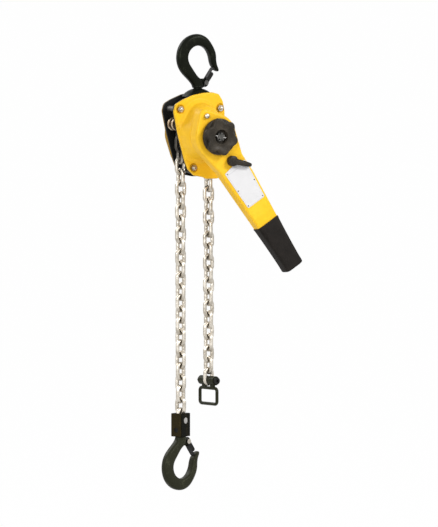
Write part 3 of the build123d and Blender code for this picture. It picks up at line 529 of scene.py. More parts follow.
# --- surfaces -----------------------------------------------------------------------------------
@dataclass
class Shell:
    """Points in millimetres about the sheave's axis, and the quads between them."""

    points: np.ndarray
    faces: np.ndarray

    @staticmethod
    def of_grid(grid: np.ndarray, rows_meet: bool = False) -> "Shell":
        """Makes a shell from a grid of points whose last column joins the first.

        Args:
            grid: points by row and column.
            rows_meet: whether the last row joins the first too.

        Returns:
            The shell.
        """
        rows, columns = grid.shape[:2]
        down = np.arange(rows if rows_meet else rows - 1)
        i, j = (index.ravel() for index in np.meshgrid(down, np.arange(columns), indexing="ij"))
        next_i, next_j = (i + 1) % rows, (j + 1) % columns
        corners = [i * columns + j, i * columns + next_j, next_i * columns + next_j, next_i * columns + j]
        return Shell(grid.reshape(-1, 3), np.column_stack(corners))

    def __add__(self, other: "Shell") -> "Shell":
        """Both shells as one."""
        moved_on = other.faces + len(self.points)
        return Shell(np.vstack([self.points, other.points]), np.vstack([self.faces, moved_on]))

    def turned(self, axis: str, degrees: float) -> "Shell":
        """The shell turned about an axis through the origin."""
        return Shell(self.points @ turn_matrix(axis, math.radians(degrees)).T, self.faces)

    def moved(self, x: float, y: float, z: float) -> "Shell":
        """The shell moved along each axis."""
        return Shell(self.points + np.array([x, y, z]), self.faces)

    def piece(self, name: str, finish: Finish, body: str, slot: str, replaced: Sequence[str] = (),
              sharp_above: float = 40.0) -> None:
        """Makes the shell a piece of the scene.

        Args:
            name: the piece's name.
            finish: its finish.
            body: the CAD body that it moves with.
            slot: the record's material slot; not used.
            replaced: the CAD nodes that it stands in for.
            sharp_above: edges that turn by more than this many degrees stay sharp.
        """
        mesh = bpy.data.meshes.new(name)
        points = self.points / 1000.0 + SHEAVE
        mesh.from_pydata(points.tolist(), [], self.faces.tolist())
        tidy = bmesh.new()
        tidy.from_mesh(mesh)
        bmesh.ops.remove_doubles(tidy, verts=tidy.verts, dist=1e-7)
        bmesh.ops.recalc_face_normals(tidy, faces=tidy.faces)
        tidy.to_mesh(mesh)
        tidy.free()
        mesh.polygons.foreach_set("use_smooth", np.ones(len(mesh.polygons), bool))
        mesh.set_sharp_from_angle(angle=math.radians(sharp_above))
        mesh.materials.append(finish.made)
        made = added(name, mesh)
        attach(made, body)
        if replaced:
            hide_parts(*replaced)


def added(name: str, data: Any) -> bpy.types.Object:
    """Adds an object to the scene.

    Args:
        name: its name.
        data: its mesh, camera or light.

    Returns:
        The object.
    """
    made = bpy.data.objects.new(name, data)
    bpy.context.scene.collection.objects.link(made)
    return made


def turn_matrix(axis: str, angle: Union[float, np.ndarray]) -> np.ndarray:
    """Rotations about one of the frame's axes, by the right-hand rule.

    Args:
        axis: "x", "y" or "z".
        angle: the angle in radians, or an array of angles.

    Returns:
        A 3 by 3 matrix, or a stack of them.
    """
    first, second = {"x": (1, 2), "y": (2, 0), "z": (0, 1)}[axis]
    angle = np.asarray(angle, float)
    matrix = np.zeros((*angle.shape, 3, 3))
    matrix[..., range(3), range(3)] = 1.0
    matrix[..., first, first] = matrix[..., second, second] = np.cos(angle)
    matrix[..., second, first] = np.sin(angle)
    matrix[..., first, second] = -np.sin(angle)
    return matrix


def circle_of(count: int) -> np.ndarray:
    """Angles evenly spaced round a full turn."""
    return np.arange(count) / count * 2 * math.pi


def smooth_step(value: np.ndarray, low: float, high: float) -> np.ndarray:
    """Rises smoothly from 0 at the low value to 1 at the high one."""
    t = np.clip((value - low) / (high - low), 0.0, 1.0)
    return t * t * (3 - 2 * t)


def bulged(value: np.ndarray, power: float) -> np.ndarray:
    """Each value to a power, with its sign kept: on a cosine and a sine it squares a circle off."""
    return np.sign(value) * np.abs(value) ** power


def ring(theta: np.ndarray, radius: Union[np.ndarray, float], level: float) -> np.ndarray:
    """Points round the Y axis: cosine and sine of each angle times its radius, at one level."""
    return np.column_stack([radius * np.cos(theta), level + 0.0 * theta, radius * np.sin(theta)])


def spaced(path: np.ndarray, count: int) -> np.ndarray:
    """Points at equal steps along a path of straight lines in the plane.

    Args:
        path: the path's corners.
        count: how many points to give.

    Returns:
        The points.
    """
    steps = np.hypot(*np.diff(path, axis=0).T)
    run = np.concatenate([[0.0], np.cumsum(steps)])
    at = np.linspace(0.0, run[-1], count)
    return np.column_stack([np.interp(at, run, path[:, 0]), np.interp(at, run, path[:, 1])])


def eased(padded: np.ndarray, spread: int) -> np.ndarray:
    """Softens a path by averaging each point with its neighbours, under a rounded weight.

    Args:
        padded: the path, with as many more points at both ends as the spread.
        spread: neighbours on each side.

    Returns:
        The path without its padding.
    """
    weight = np.hanning(2 * spread + 3)[1:-1]
    weight /= weight.sum()
    return np.column_stack([np.convolve(padded[:, axis], weight, "valid") for axis in (0, 1)])


def arcs(start: Pair, heading: float, points: Sequence[Pair]) -> np.ndarray:
    """A path of arcs through the points, each leaving in the direction in which the last one arrived.

    An arc that leaves at an angle a from its chord turns by 2a, so its length is the chord times a / sin a,
    and its heading grows evenly along it.

    Args:
        start: X and Z of its first point.
        heading: the direction in which it leaves, in degrees from X towards Z.
        points: X and Z of the points to pass.

    Returns:
        The path's points.
    """
    here, way = np.array(start, float), math.radians(heading)
    path = [here[None]]
    for point in points:
        chord = np.array(point, float) - here
        aside = math.remainder(math.atan2(chord[1], chord[0]) - way, 2 * math.pi) or 1e-6
        length = math.hypot(*chord) * aside / math.sin(aside)
        t = np.linspace(0.0, 1.0, 25)[1:]
        headings = way + 2 * aside * t
        across = np.sin(headings) - math.sin(way)
        along = math.cos(way) - np.cos(headings)
        path.append(here + length / (2 * aside) * np.column_stack([across, along]))
        here, way = path[-1][-1], way + 2 * aside
    return np.vstack(path)


def lathe(profile: Sequence[Pair], axis: str = "y", around: int = 64) -> Shell:
    """A surface of revolution about one of the origin's axes.

    Args:
        profile: the radius, and the place along the axis, at each ring.
        axis: "y" or "z".
        around: points round it.

    Returns:
        The shell.
    """
    radius, height = np.array(profile, float).T
    theta = circle_of(around)
    first, second = radius[:, None] * np.cos(theta), radius[:, None] * np.sin(theta)
    level = np.repeat(height[:, None], around, axis=1)
    columns = (first, level, second) if axis == "y" else (first, second, level)
    return Shell.of_grid(np.stack(columns, axis=2))


def rounded(radius: float, out: float, level: float, way: tuple[int, int]) -> list[Pair]:
    """A quarter circle of a lathe profile, from its flank round to its face.

    Args:
        radius: radius of the rounding.
        out: radius of the flank.
        level: place of the face along the axis.
        way: +1 or -1 for whether the flank faces outward, and for which way the face looks.

    Returns:
        Radius and place of each of its five points.
    """
    turn = np.linspace(0.0, math.pi / 2, 5)
    radii = out - way[0] * radius * (1 - np.cos(turn))
    levels = level - way[1] * radius * (1 - np.sin(turn))
    return list(zip(radii.tolist(), levels.tolist()))


def puck(outline: np.ndarray, centre: Pair, back: float, front: float, edge: float,
         dome: float = 0.0) -> Shell:
    """A plate with rounded edges, whose outline can be seen whole from its centre.

    Args:
        outline: X and Z of points round it.
        centre: X and Z of its centre.
        back: Y of its back.
        front: Y of its front.
        edge: radius of its edges.
        dome: how far the middle of its front stands out.

    Returns:
        The shell.
    """
    spoke = outline - np.array(centre)
    reach = np.hypot(*spoke.T)[:, None]
    turn = np.linspace(0.0, math.pi / 2, 5)
    inset = edge * (1 - np.cos(turn))
    rings, levels = [], []
    for face, way in ((back, 1.0), (front, -1.0)):
        depth = face + way * edge * (1 - np.sin(turn))
        order = slice(None, None, -1) if way > 0 else slice(None)
        rings += [spoke * (1 - step / reach) for step in inset[order]]
        levels += depth[order].tolist()
    inner = [(0.0, back)] + [(share, back) for share in (0.35, 0.7)]
    face_rings = [(share, front - dome * (1 - share**2)) for share in (0.85, 0.6, 0.3, 0.0)]
    rings = [rings[0] * share for share, _ in inner] + rings + [rings[-1] * share for share, _ in face_rings]
    levels = [level for _, level in inner] + levels + [level for _, level in face_rings]
    grid = np.stack([
        np.column_stack([row[:, 0] + centre[0], np.full(len(row), level), row[:, 1] + centre[1]])
        for row, level in zip(rings, levels)
    ])
    return Shell.of_grid(grid)


def wire(path: np.ndarray, radius: float, around: int = 8) -> Shell:
    """Round wire along a path that never runs straight along Y for long.

    Args:
        path: the points of its middle.
        radius: its radius.
        around: points round it.

    Returns:
        The shell, with closed ends.
    """
    way = np.gradient(path, axis=0)
    way /= np.linalg.norm(way, axis=1)[:, None]
    side = np.cross(way, np.array([0.0, 1.0, 0.0]))
    side /= np.maximum(np.linalg.norm(side, axis=1)[:, None], 1e-9)
    lift = np.cross(side, way)
    theta = circle_of(around)
    about = np.cos(theta)[None, :, None] * side[:, None] + np.sin(theta)[None, :, None] * lift[:, None]
    scale = np.full(len(path), radius)
    scale[[0, -1]] = 0.0
    ends = path.copy()
    ends[0], ends[-1] = path[1], path[-2]
    return Shell.of_grid(ends[:, None] + about * scale[:, None, None])


def on_arm(shell: Shell) -> Shell:
    """Turns a shell drawn with the lever's arm along +X to where the lever hangs."""
    return shell.turned("y", ARM_TURN)


def leaned(shell: Shell) -> Shell:
    """Leans a shell outward with the lever's arm, about the arm's bend."""
    x, y = ARM_BEND
    return shell.moved(-x, -y, 0.0).turned("z", ARM_LEAN).moved(x, y, 0.0)


def dress_cad_nodes() -> int:
    """Gives every CAD node the finish of its material slot.

    Returns:
        The number of nodes dressed.
    """
    for part in frame["record"]["subparts"]:
        node = frame["nodes"][part["node"]]
        finish = NODE_FINISH.get(part["node"], SLOT_FINISH[part["material_slot"]])
        node.data.materials.clear()
        node.data.materials.append(finish.made)
    return len(frame["record"]["subparts"])


# --- chain --------------------------------------------------------------------------------------
@dataclass
class Chain:
    """The load chain: welded links round the sheave and down both strands."""

    wire: float = 7.1
    drawn: float = 7.08
    pitch: float = 21.0
    width: float = 23.6
    pockets: int = 4
    phase: float = 166.5
    slack_x: float = 32.1
    still: int = 2
    upper: int = 2
    load: tuple[int, float] = (25, 25.0)
    slack: tuple[int, float] = (21, 11.0)
    weld: float = 0.09
    weld_length: float = 1.3
    within: float = 0.06

    def __post_init__(self) -> None:
        """Works out the sheave's pitch circle and where each strand starts."""
        step = math.radians(90 / self.pockets)
        self.circle = 0.5 * math.hypot(self.pitch / math.sin(step), self.wire / math.cos(step))
        self.flat = math.sqrt(self.circle**2 - ((self.pitch + self.wire) / 2) ** 2)
        self.stand = math.sqrt(self.circle**2 - ((self.pitch - self.wire) / 2) ** 2)
        half_flat = math.degrees(math.acos(self.flat / self.circle))
        load_end = math.radians(self.phase + half_flat)
        slack_end = math.radians(self.phase - 180 + half_flat)
        below = (self.pitch - self.wire) / 2
        self.load_top = (self.circle * math.cos(load_end), self.circle * math.sin(load_end) - below)
        self.high = (self.circle * math.cos(slack_end), self.circle * math.sin(slack_end))
        drop = math.sqrt((self.pitch + self.wire) ** 2 - (self.slack_x - self.high[0]) ** 2)
        self.low = (self.slack_x, self.high[1] - drop)
        self.slack_top = (self.slack_x, self.low[1] - below)

    def link(self, thin: float = 0.0, along: int = 56, around: int = 16) -> np.ndarray:
        """One link in the XZ plane about the origin.

        The wire's middle follows two straights joined by half circles. Round it runs a circle of the wire's
        radius, swollen a little at the weld halfway down one straight.

        Args:
            thin: how much thinner than the others it is.
            along: points along the wire.
            around: points round it.

        Returns:
            A grid of points that meets itself both ways.
        """
        radius = (self.width - self.wire) / 2
        straight = self.pitch + self.wire - 2 * radius
        arc = math.pi * radius
        lap = np.array([0.0, straight, straight + arc, 2 * straight + arc, 2 * straight + 2 * arc])
        s = np.arange(along) / along * lap[-1]
        turn = np.interp(s, lap, [0.0, 0.0, math.pi, math.pi, 2 * math.pi])
        rise = np.interp(s, lap, [-straight / 2, straight / 2, straight / 2, -straight / 2, -straight / 2])
        outward = np.stack([np.cos(turn), np.zeros(along), np.sin(turn)], axis=1)
        middle = outward * radius + np.array([0.0, 0.0, 1.0]) * rise[:, None]
        swell = 1 + self.weld * np.exp(-(((s - straight / 2) / self.weld_length) ** 2)) - thin
        theta = circle_of(around)
        about = outward[:, None] * np.cos(theta)[:, None] + np.array([0.0, 1.0, 0.0]) * np.sin(theta)[:, None]
        return middle[:, None] + self.drawn / 2 * swell[:, None, None] * about

    def strand(self, top: Pair, links: tuple[int, float], first: int, last: int) -> np.ndarray:
        """Places of some links of a hanging strand, each a quarter turn from the one above.

        Args:
            top: X and Z of the strand's first link.
            links: how many links the strand has, and the degrees that the whole of it twists.
            first: number of the first link wanted.
            last: number after the last one.

        Returns:
            A 3 by 4 placement for each link: rotation, then position.
        """
        count, twist = links
        number = np.arange(first, last)
        turn = np.radians(90 * (number % 2) + twist * number / (count - 1))
        place = np.stack([np.full(len(number), top[0]), 0.0 * number, top[1] - number * self.pitch], axis=1)
        return np.concatenate([turn_matrix("z", turn), place[:, :, None]], axis=2)

    def on_sheave(self) -> np.ndarray:
        """Places of the links bent round the sheave, flat and standing by turns, and of the next one.

        Returns:
            A 3 by 4 placement for each link.
        """
        lay = turn_matrix("z", math.pi / 2)
        places = []
        for step, (radius, flat) in enumerate(((self.flat, True), (self.stand, False)) * 2):
            angle = math.radians(self.phase - 180 / self.pockets * step)
            rotation = turn_matrix("y", -angle) @ (lay if flat else np.eye(3))
            centre = [radius * math.cos(angle), 0.0, radius * math.sin(angle)]
            places.append(np.column_stack([rotation, centre]))
        lean = math.atan2(self.low[0] - self.high[0], self.high[1] - self.low[1])
        centre = [(self.high[0] + self.low[0]) / 2, 0.0, (self.high[1] + self.low[1]) / 2]
        places.append(np.column_stack([turn_matrix("y", -lean) @ lay, centre]))
        return np.array(places)

    def run(self, places: np.ndarray, thin: float = 0.0) -> Shell:
        """Links at the given places, as one shell.

        Args:
            places: a 3 by 4 placement for each.
            thin: how much thinner than the others they are.

        Returns:
            The shell.
        """
        link = Shell.of_grid(self.link(thin), rows_meet=True)
        points = np.einsum("nij,pj->npi", places[:, :, :3], link.points) + places[:, None, :, 3]
        faces = link.faces[None] + np.arange(len(places))[:, None, None] * len(link.points)
        return Shell(points.reshape(-1, 3), faces.reshape(-1, 4))

    def build(self) -> None:
        """Builds the links round the sheave, both hanging strands, and the spare links behind them.

        The spare links are thinner and start inside still ones. The still links of the slack strand are
        thinner too, so that the links which rise to their places close over them.
        """
        split = self.still + self.upper
        strands = {"load": (self.load_top, self.load), "slack": (self.slack_top, self.slack)}
        held = np.concatenate([self.on_sheave(), self.strand(*strands["load"], 0, self.still)])
        around = self.run(held) + self.run(self.strand(*strands["slack"], 0, self.still), self.within)
        around.piece("links_round_sheave", Finish.CHAIN, "frame", "chain_steel", ["chain_round_sheave"])
        for side, (top, links) in strands.items():
            stretches = (("_upper", "upper", self.still, split), ("", "lower", split, links[0]))
            for ending, body, first, last in stretches:
                piece = f"{side}_links{ending}", Finish.CHAIN, f"{side}_{body}", "chain_steel"
                self.run(self.strand(top, links, first, last)).piece(*piece, [f"{side}_chain{ending}"])
        spare = self.run(self.strand(self.load_top, self.load, 0, self.still), self.within / 2)
        spare.piece("load_links_spare", Finish.CHAIN, "load_upper", "chain_steel")


# --- hooks --------------------------------------------------------------------------------------
@dataclass
class AtHook:
    """Something drawn about the centre of an upright hook's bowl, then put in its place."""

    name: str
    body: str
    centre: Pair
    hangs: bool = False
    turn: float = 0.0

    def placed(self, shell: Shell) -> Shell:
        """The shell turned over if its hook hangs, turned about Z, and moved to the bowl's centre."""
        upright = shell.turned("x", 180) if self.hangs else shell
        return upright.turned("z", self.turn).moved(self.centre[0], 0.0, self.centre[1])


@dataclass
class Hook(AtHook):
    """A forged hook with its latch's ear, swept from its seat round the bowl to its nose."""

    shank: float = 8.0
    bowl: float = 22.0
    half_thick: float = 8.5
    thinning: float = 0.16
    squareness: float = 0.62
    nose: float = 3.2
    seat: float = -55.5

    def paths(self, count: int = 34) -> tuple[np.ndarray, np.ndarray]:
        """The outer and inner edges of the hook, at stations that face each other.

        Args:
            count: stations in each of the four stretches.

        Returns:
            X and Z along the outer edge and along the inner one.
        """
        low, high = (
            (self.bowl * math.cos(math.radians(angle)), self.bowl * math.sin(math.radians(angle)))
            for angle in (216, 35)
        )
        neck = [(-10.0, self.seat), (-10.0, -51.5), (-16.1, -44.0)]
        back = np.vstack([neck, arcs((-30, -31), 137, [(-43.5, 0)])])
        front_neck = [(10.0, self.seat), (8.5, -46.0), (4.5, -39.0), (-2.4, -34.2)]
        throat = np.vstack([front_neck, arcs(low, 126, [(-self.bowl, 0)])])
        crown = arcs((-43.5, 0), 90, [(-41.5, 14), (-4.5, 43.6)])
        bowl_left = arcs((-self.bowl, 0), 90, [(-2.0, self.bowl - 0.1)])
        right = arcs((-4.5, 43.6), 3.7, [(22.4, 31.9), (34.0, 13.0), (36.6, 0)])
        bowl_right = np.vstack([arcs((-2.0, self.bowl - 0.1), 5, [high]), arcs(high, -55, [(24.4, -3.0)])])
        tip = arcs((36.6, 0), -91, [(41.7, -20.5), (41.8, -24.4)])
        mouth = np.vstack([arcs((24.4, -3.0), -80, [(27.6, -14.8)]), [(33.2, -21.6)]])
        outer = np.vstack([spaced(path, count) for path in (back, crown, right, tip)])
        inner = np.vstack([spaced(path, count) for path in (throat, bowl_left, bowl_right, mouth)])
        padded = (np.vstack([path[[0, 0, 0]], path, path[[-1, -1, -1]]]) for path in (outer, inner))
        return tuple(eased(path, 3) for path in padded)

    def swept(self, around: int = 40) -> Shell:
        """The hook's body: a rounded section between the two edges at each station, closed by a round nose.

        Args:
            around: points round each section.

        Returns:
            The shell.
        """
        outer, inner = self.paths()
        middle, half = (outer + inner) / 2, (outer - inner) / 2
        theta = circle_of(around)
        across = bulged(np.cos(theta), self.squareness)
        lift = bulged(np.sin(theta), self.squareness) * (1 - 0.10 * np.cos(theta))
        ridge = 1 + 0.012 * np.exp(-((np.sin(theta) / 0.10) ** 2))
        plane = middle[:, None] + half[:, None] * (across * ridge)[None, :, None]
        along = np.linspace(0.0, 1.0, len(middle))
        thick = self.half_thick * (1 - self.thinning * smooth_step(along, 0.72, 1.0))
        rings = [np.dstack([plane[:, :, 0], thick[:, None] * lift[None, :], plane[:, :, 1]])]
        ahead = middle[-1] - middle[-4]
        ahead /= np.hypot(*ahead)
        for turn in np.radians([20, 40, 58, 74, 84, 90]):
            centre = middle[-1] + ahead * self.nose * math.sin(turn)
            spread = centre + half[-1] * (across * ridge)[:, None] * math.cos(turn)
            level = thick[-1] * lift * math.cos(turn)
            rings.append(np.column_stack([spread[:, 0], level, spread[:, 1]])[None])
        start = np.broadcast_to(rings[0][0].mean(axis=0), rings[0][:1].shape)
        return Shell.of_grid(np.concatenate([start, *rings]))

    def ear(self) -> Shell:
        """The thin ear that the latch turns on.

        Returns:
            The shell.
        """
        nose = arcs((18.6, -52.0), 55, [(21.4, -46.0), (16.0, -38.5)])
        edge = np.vstack([[(6.0, -54.5), (15.0, -54.0)], nose, [(6.0, -38.5)]])
        return puck(spaced(np.vstack([edge, edge[:1]]), 60)[:-1], (12.5, -46.5), 2.6, -2.6, 0.9)

    def build(self) -> None:
        """Builds the hook with its turned collar and shank."""
        seat, foot = self.seat, self.seat - (8.0 if self.hangs else 27.0)
        collar = [(0.1, foot)] if self.hangs else []
        collar += [(self.shank, foot), (self.shank, seat), *rounded(1.2, 10.2, seat, (1, -1))[::-1]]
        collar += [*rounded(1.8, 10.2, seat + 4.5, (1, 1)), (6.0, seat + 4.6)]
        forged = self.swept() + self.ear() + lathe(collar, axis="z")
        if self.hangs:
            end = [(0.1, seat - 8.6), (8.6, seat - 8.6), (8.6, seat - 4.3), (6.0, seat - 4.3)]
            forged = forged + lathe(end, axis="z")
        finish = Finish.OLIVE if self.hangs else Finish.FORGED
        whole = self.placed(forged)
        whole.piece(f"forged_{self.name}", finish, self.body, "forged_black", [self.name], 55.0)


@dataclass
class LatchSpring(AtHook):
    """The latch's torsion spring: a coil of wire on each side of the ear, with legs along the latch."""

    pin: Pair = (14.8, -46.0)
    radius: float = 3.0
    turns: float = 1.6
    gap: float = 3.1
    length: float = 0.9
    leg: float = 9.0
    thick: float = 0.45

    def coil(self, side: int) -> Shell:
        """One coil, wound outward from the ear, ending in a straight leg.

        Args:
            side: +1 for the coil behind the ear, -1 for the one in front of it.

        Returns:
            The coil about its own axis.
        """
        t = np.linspace(0.0, 1.0, 60)
        angle = 2 * math.pi * self.turns * t + math.radians(-30)
        aside = side * (self.gap + self.length * t)
        coil = np.column_stack([self.radius * np.cos(angle), aside, self.radius * np.sin(angle)])
        way = np.array([-math.sin(angle[-1]), 0.0, math.cos(angle[-1])])
        leg = coil[-1] + way * np.linspace(1.0, self.leg, 6)[:, None]
        return wire(np.vstack([coil, leg]), self.thick)

    def build(self) -> None:
        """Builds both coils in place of the CAD's plain ones."""
        coils = self.placed((self.coil(-1) + self.coil(1)).moved(self.pin[0], 0.0, self.pin[1]))
        coils.piece(f"{self.name}_wire", Finish.SPRING, self.body, "spring_steel", [self.name])


# --- body ---------------------------------------------------------------------------------------
@dataclass
class Cover:
    """The pressed front cover: one skin with a rolled rim, cups at the nuts, and the brake's dome."""

    rim_y: float = -26.5
    plate_y: float = -21.5
    dome_y: float = -64.0
    roll: float = 2.4
    hole: float = 20.0
    hole_y: float = -61.0
    cup: Pair = (6.6, 9.4)
    cup_y: float = -23.8
    rays: int = 512
    rings: int = 104

    def rim(self, rays: np.ndarray) -> np.ndarray:
        """How far the rounded rim reaches along each ray from the axis.

        Args:
            rays: the rays' angles.

        Returns:
            The reach of each ray.
        """
        corners = np.array([
            (-53.5, 44.0), (-50.0, 57.5), (-36.0, 65.0), (-14.0, 73.5), (8.0, 77.5), (26.0, 78.5),
            (40.0, 75.0), (48.0, 63.0), (52.0, 44.0), (53.0, 10.0), (51.5, -40.0), (47.0, -68.0),
            (41.5, -78.0), (37.0, -80.5), (14.0, -80.5), (7.0, -77.2), (-12.0, -73.5), (-24.0, -62.5),
            (-31.0, -46.0), (-45.0, 4.0),
        ])
        path = spaced(np.vstack([corners, corners[:1]]), 1200)[:-1]
        path = eased(np.vstack([path[-8:], path, path[:8]]), 8)
        angle = np.unwrap(np.arctan2(path[:, 1], path[:, 0]))
        order = np.argsort(angle % (2 * math.pi))
        return np.interp(rays, (angle % (2 * math.pi))[order], np.hypot(*path.T)[order], period=2 * math.pi)

    @staticmethod
    def egg(x: np.ndarray, z: np.ndarray) -> np.ndarray:
        """Distance outside the hull of a circle of 45 about the axis and one of 30 placed 30 above it.

        Beside the axis the nearest point lies on the large circle below the tangent, on the small one above
        it, and on the straight tangent between them, whose normal is (a, b).

        Args:
            x: X of the points.
            z: Z of the points.

        Returns:
            The distance of each point, less than 0 inside.
        """
        large, small, rise = 45.0, 30.0, 30.0
        b = (large - small) / rise
        a = math.sqrt(1 - b * b)
        side = np.abs(x)
        along = a * z - b * side
        straight = side * a + z * b - large
        round_low, round_high = np.hypot(side, z) - large, np.hypot(side, z - rise) - small
        return np.where(along < 0, round_low, np.where(along > a * rise, round_high, straight))

    def level(self, x: np.ndarray, z: np.ndarray) -> np.ndarray:
        """Y of the skin: the rim's plane, rising over a soft foot to the dome, and cupped at each nut.

        Args:
            x: X of the points.
            z: Z of the points.

        Returns:
            Y of each point.
        """
        out = self.egg(x, z)
        foot = 0.14 * smooth_step(-out, -8.0, 0.5)
        lift = foot + 0.66 * smooth_step(-out, -1.0, 7.0) + 0.20 * smooth_step(-out, 3.0, 14.0)
        crown = 0.012 * np.clip(-out, 0, 40) / 40
        y = self.rim_y + (self.dome_y - self.rim_y) * np.clip(lift + crown, 0.0, 1.0)
        for stay_x, stay_z in STAYS:
            cup = 1 - smooth_step(np.hypot(x - stay_x, z - stay_z), *self.cup)
            y = y * (1 - cup) + self.cup_y * cup
        return y

    def build(self) -> None:
        """Builds the cover's skin from the shaft's hole out over the rim and back to the plate."""
        theta = circle_of(self.rays)
        flat = self.rim(theta) - self.roll
        radius = self.hole + (flat - self.hole)[None] * np.linspace(0.0, 1.0, self.rings)[:, None]
        x, z = radius * np.cos(theta), radius * np.sin(theta)
        face = np.dstack([x, self.level(x, z), z])
        turns = np.linspace(0.2, 1.0, 5) * math.pi / 2
        rolled = [
            ring(theta, flat + self.roll * math.sin(turn), self.rim_y + self.roll * (1 - math.cos(turn)))
            for turn in turns
        ]
        foot = ring(theta, flat + self.roll, self.plate_y + 0.05)
        mouth = ring(theta, self.hole, self.hole_y)
        skin = Shell.of_grid(np.concatenate([mouth[None], face, np.stack([*rolled, foot])]))
        skin.piece("pressed_cover", Finish.YELLOW, "frame", "yellow_paint", ["front_cover"], 60.0)


@dataclass
class Stays:
    """The stay bolts, threaded at both ends, and the two screws below."""

    radius: float = 3.0
    pitch: float = 1.0
    depth: float = 0.32
    point: Pair = (0.7, 1.2)
    front: float = -32.7
    back: float = 31.7
    gap: float = 6.0

    def screw(self, place: Pair, low: float, high: float) -> Shell:
        """A screw from one Y to another, with a thread cut into each end that shows.

        The radius falls and rises once in each pitch along the screw, and once more in each turn about it.

        Args:
            place: X and Z of its axis.
            low: Y of its front end.
            high: Y of its back end.

        Returns:
            The shell.
        """
        rows, around = 260, 32
        y = np.linspace(low, high, rows)
        theta = circle_of(around)
        phase = y[:, None] / self.pitch - theta[None] / (2 * math.pi)
        groove = np.abs(2 * (phase % 1.0) - 1)
        end = np.minimum(np.abs(y - self.front), np.abs(y - self.back))
        cut = self.depth * (1 - smooth_step(end, 9.0, 10.0))
        tip = self.point[0] * (1 - smooth_step(end, 0.0, self.point[1]))
        radius = self.radius - cut[:, None] * groove - tip[:, None]
        radius[[0, -1]] = 0.0
        y[0], y[-1] = y[1], y[-2]
        x, z = radius * np.cos(theta) + place[0], radius * np.sin(theta) + place[1]
        return Shell.of_grid(np.dstack([x, np.repeat(y[:, None], around, axis=1), z]))

    def build(self) -> None:
        """Builds all four screws."""
        left, right, low = STAYS
        ends = [(left, self.front, self.back), (right, self.front, self.back)]
        ends += [(low, self.front, -self.gap), (low, self.gap, self.back)]
        whole = reduce(add, (self.screw(*end) for end in ends))
        whole.piece("threaded_stays", Finish.ZINC, "frame", "zinc_steel", ["stay_bolts"], 70.0)


# --- lever --------------------------------------------------------------------------------------
@dataclass
class Grip:
    """The rubber grip: a tapered sleeve with a lip at its mouth, a waist and a rounded end."""

    start: float = 188.0
    end: float = 288.0
    middle_y: float = ARM_BEND[1]
    half: Pair = (24.0, 15.0)
    taper: Pair = (5.2, 0.9)
    waist: float = 0.7
    lip: Pair = (0.9, 0.6)
    swell: float = 0.5
    end_round: float = 4.6
    ribs: int = 22
    grid: tuple[int, int] = (90, 72)

    def build(self) -> None:
        """Builds the sleeve: at each station a rounded rectangle, ribbed faintly along its flanks."""
        rows, around = self.grid
        s = np.linspace(0.0, 1.0, rows)
        lip = np.exp(-((s / 0.035) ** 2))
        wide = self.half[0] - self.taper[0] * s - self.waist * np.sin(math.pi * s)
        wide = wide + self.lip[0] * lip + self.swell * smooth_step(s, 0.82, 1.0)
        thick = self.half[1] - self.taper[1] * s + self.lip[1] * lip
        drawn_in = 1 - np.sqrt(np.clip(1 - (np.clip(s - 0.955, 0, None) / 0.045) ** 2, 0.0, 1.0))
        mouth = np.concatenate([[0.90, 0.97], np.ones(rows - 2)])
        theta = circle_of(around)
        across, lift = bulged(np.cos(theta), 0.25), bulged(np.sin(theta), 0.42)
        width = (wide - self.end_round * drawn_in) * mouth
        depth = (thick - self.end_round * drawn_in) * mouth
        along = np.repeat((self.start + s * (self.end - self.start))[:, None], around, axis=1)
        flank = (np.abs(np.cos(theta)) > 0.9)[None]
        ribbed = 1 + 0.010 * np.sin(s * 2 * math.pi * self.ribs)[:, None] * flank
        grid = np.dstack([along, self.middle_y + depth[:, None] * lift, width[:, None] * across * ribbed])
        centre = np.array([self.end, self.middle_y, 0.0])
        cap = [centre + (grid[-1] - centre) * share for share in (0.75, 0.4, 0.0)]
        inside = grid[:1] + np.array([8.0, 0.0, 0.0])
        inside[..., 1] = self.middle_y + (inside[..., 1] - self.middle_y) * 0.9
        inside[..., 2] *= 0.9
        sleeve = on_arm(leaned(Shell.of_grid(np.concatenate([inside, grid, np.stack(cap)]))))
        sleeve.piece("rubber_grip", Finish.RUBBER, "lever", "grip_rubber", ["lever_grip"], 45.0)


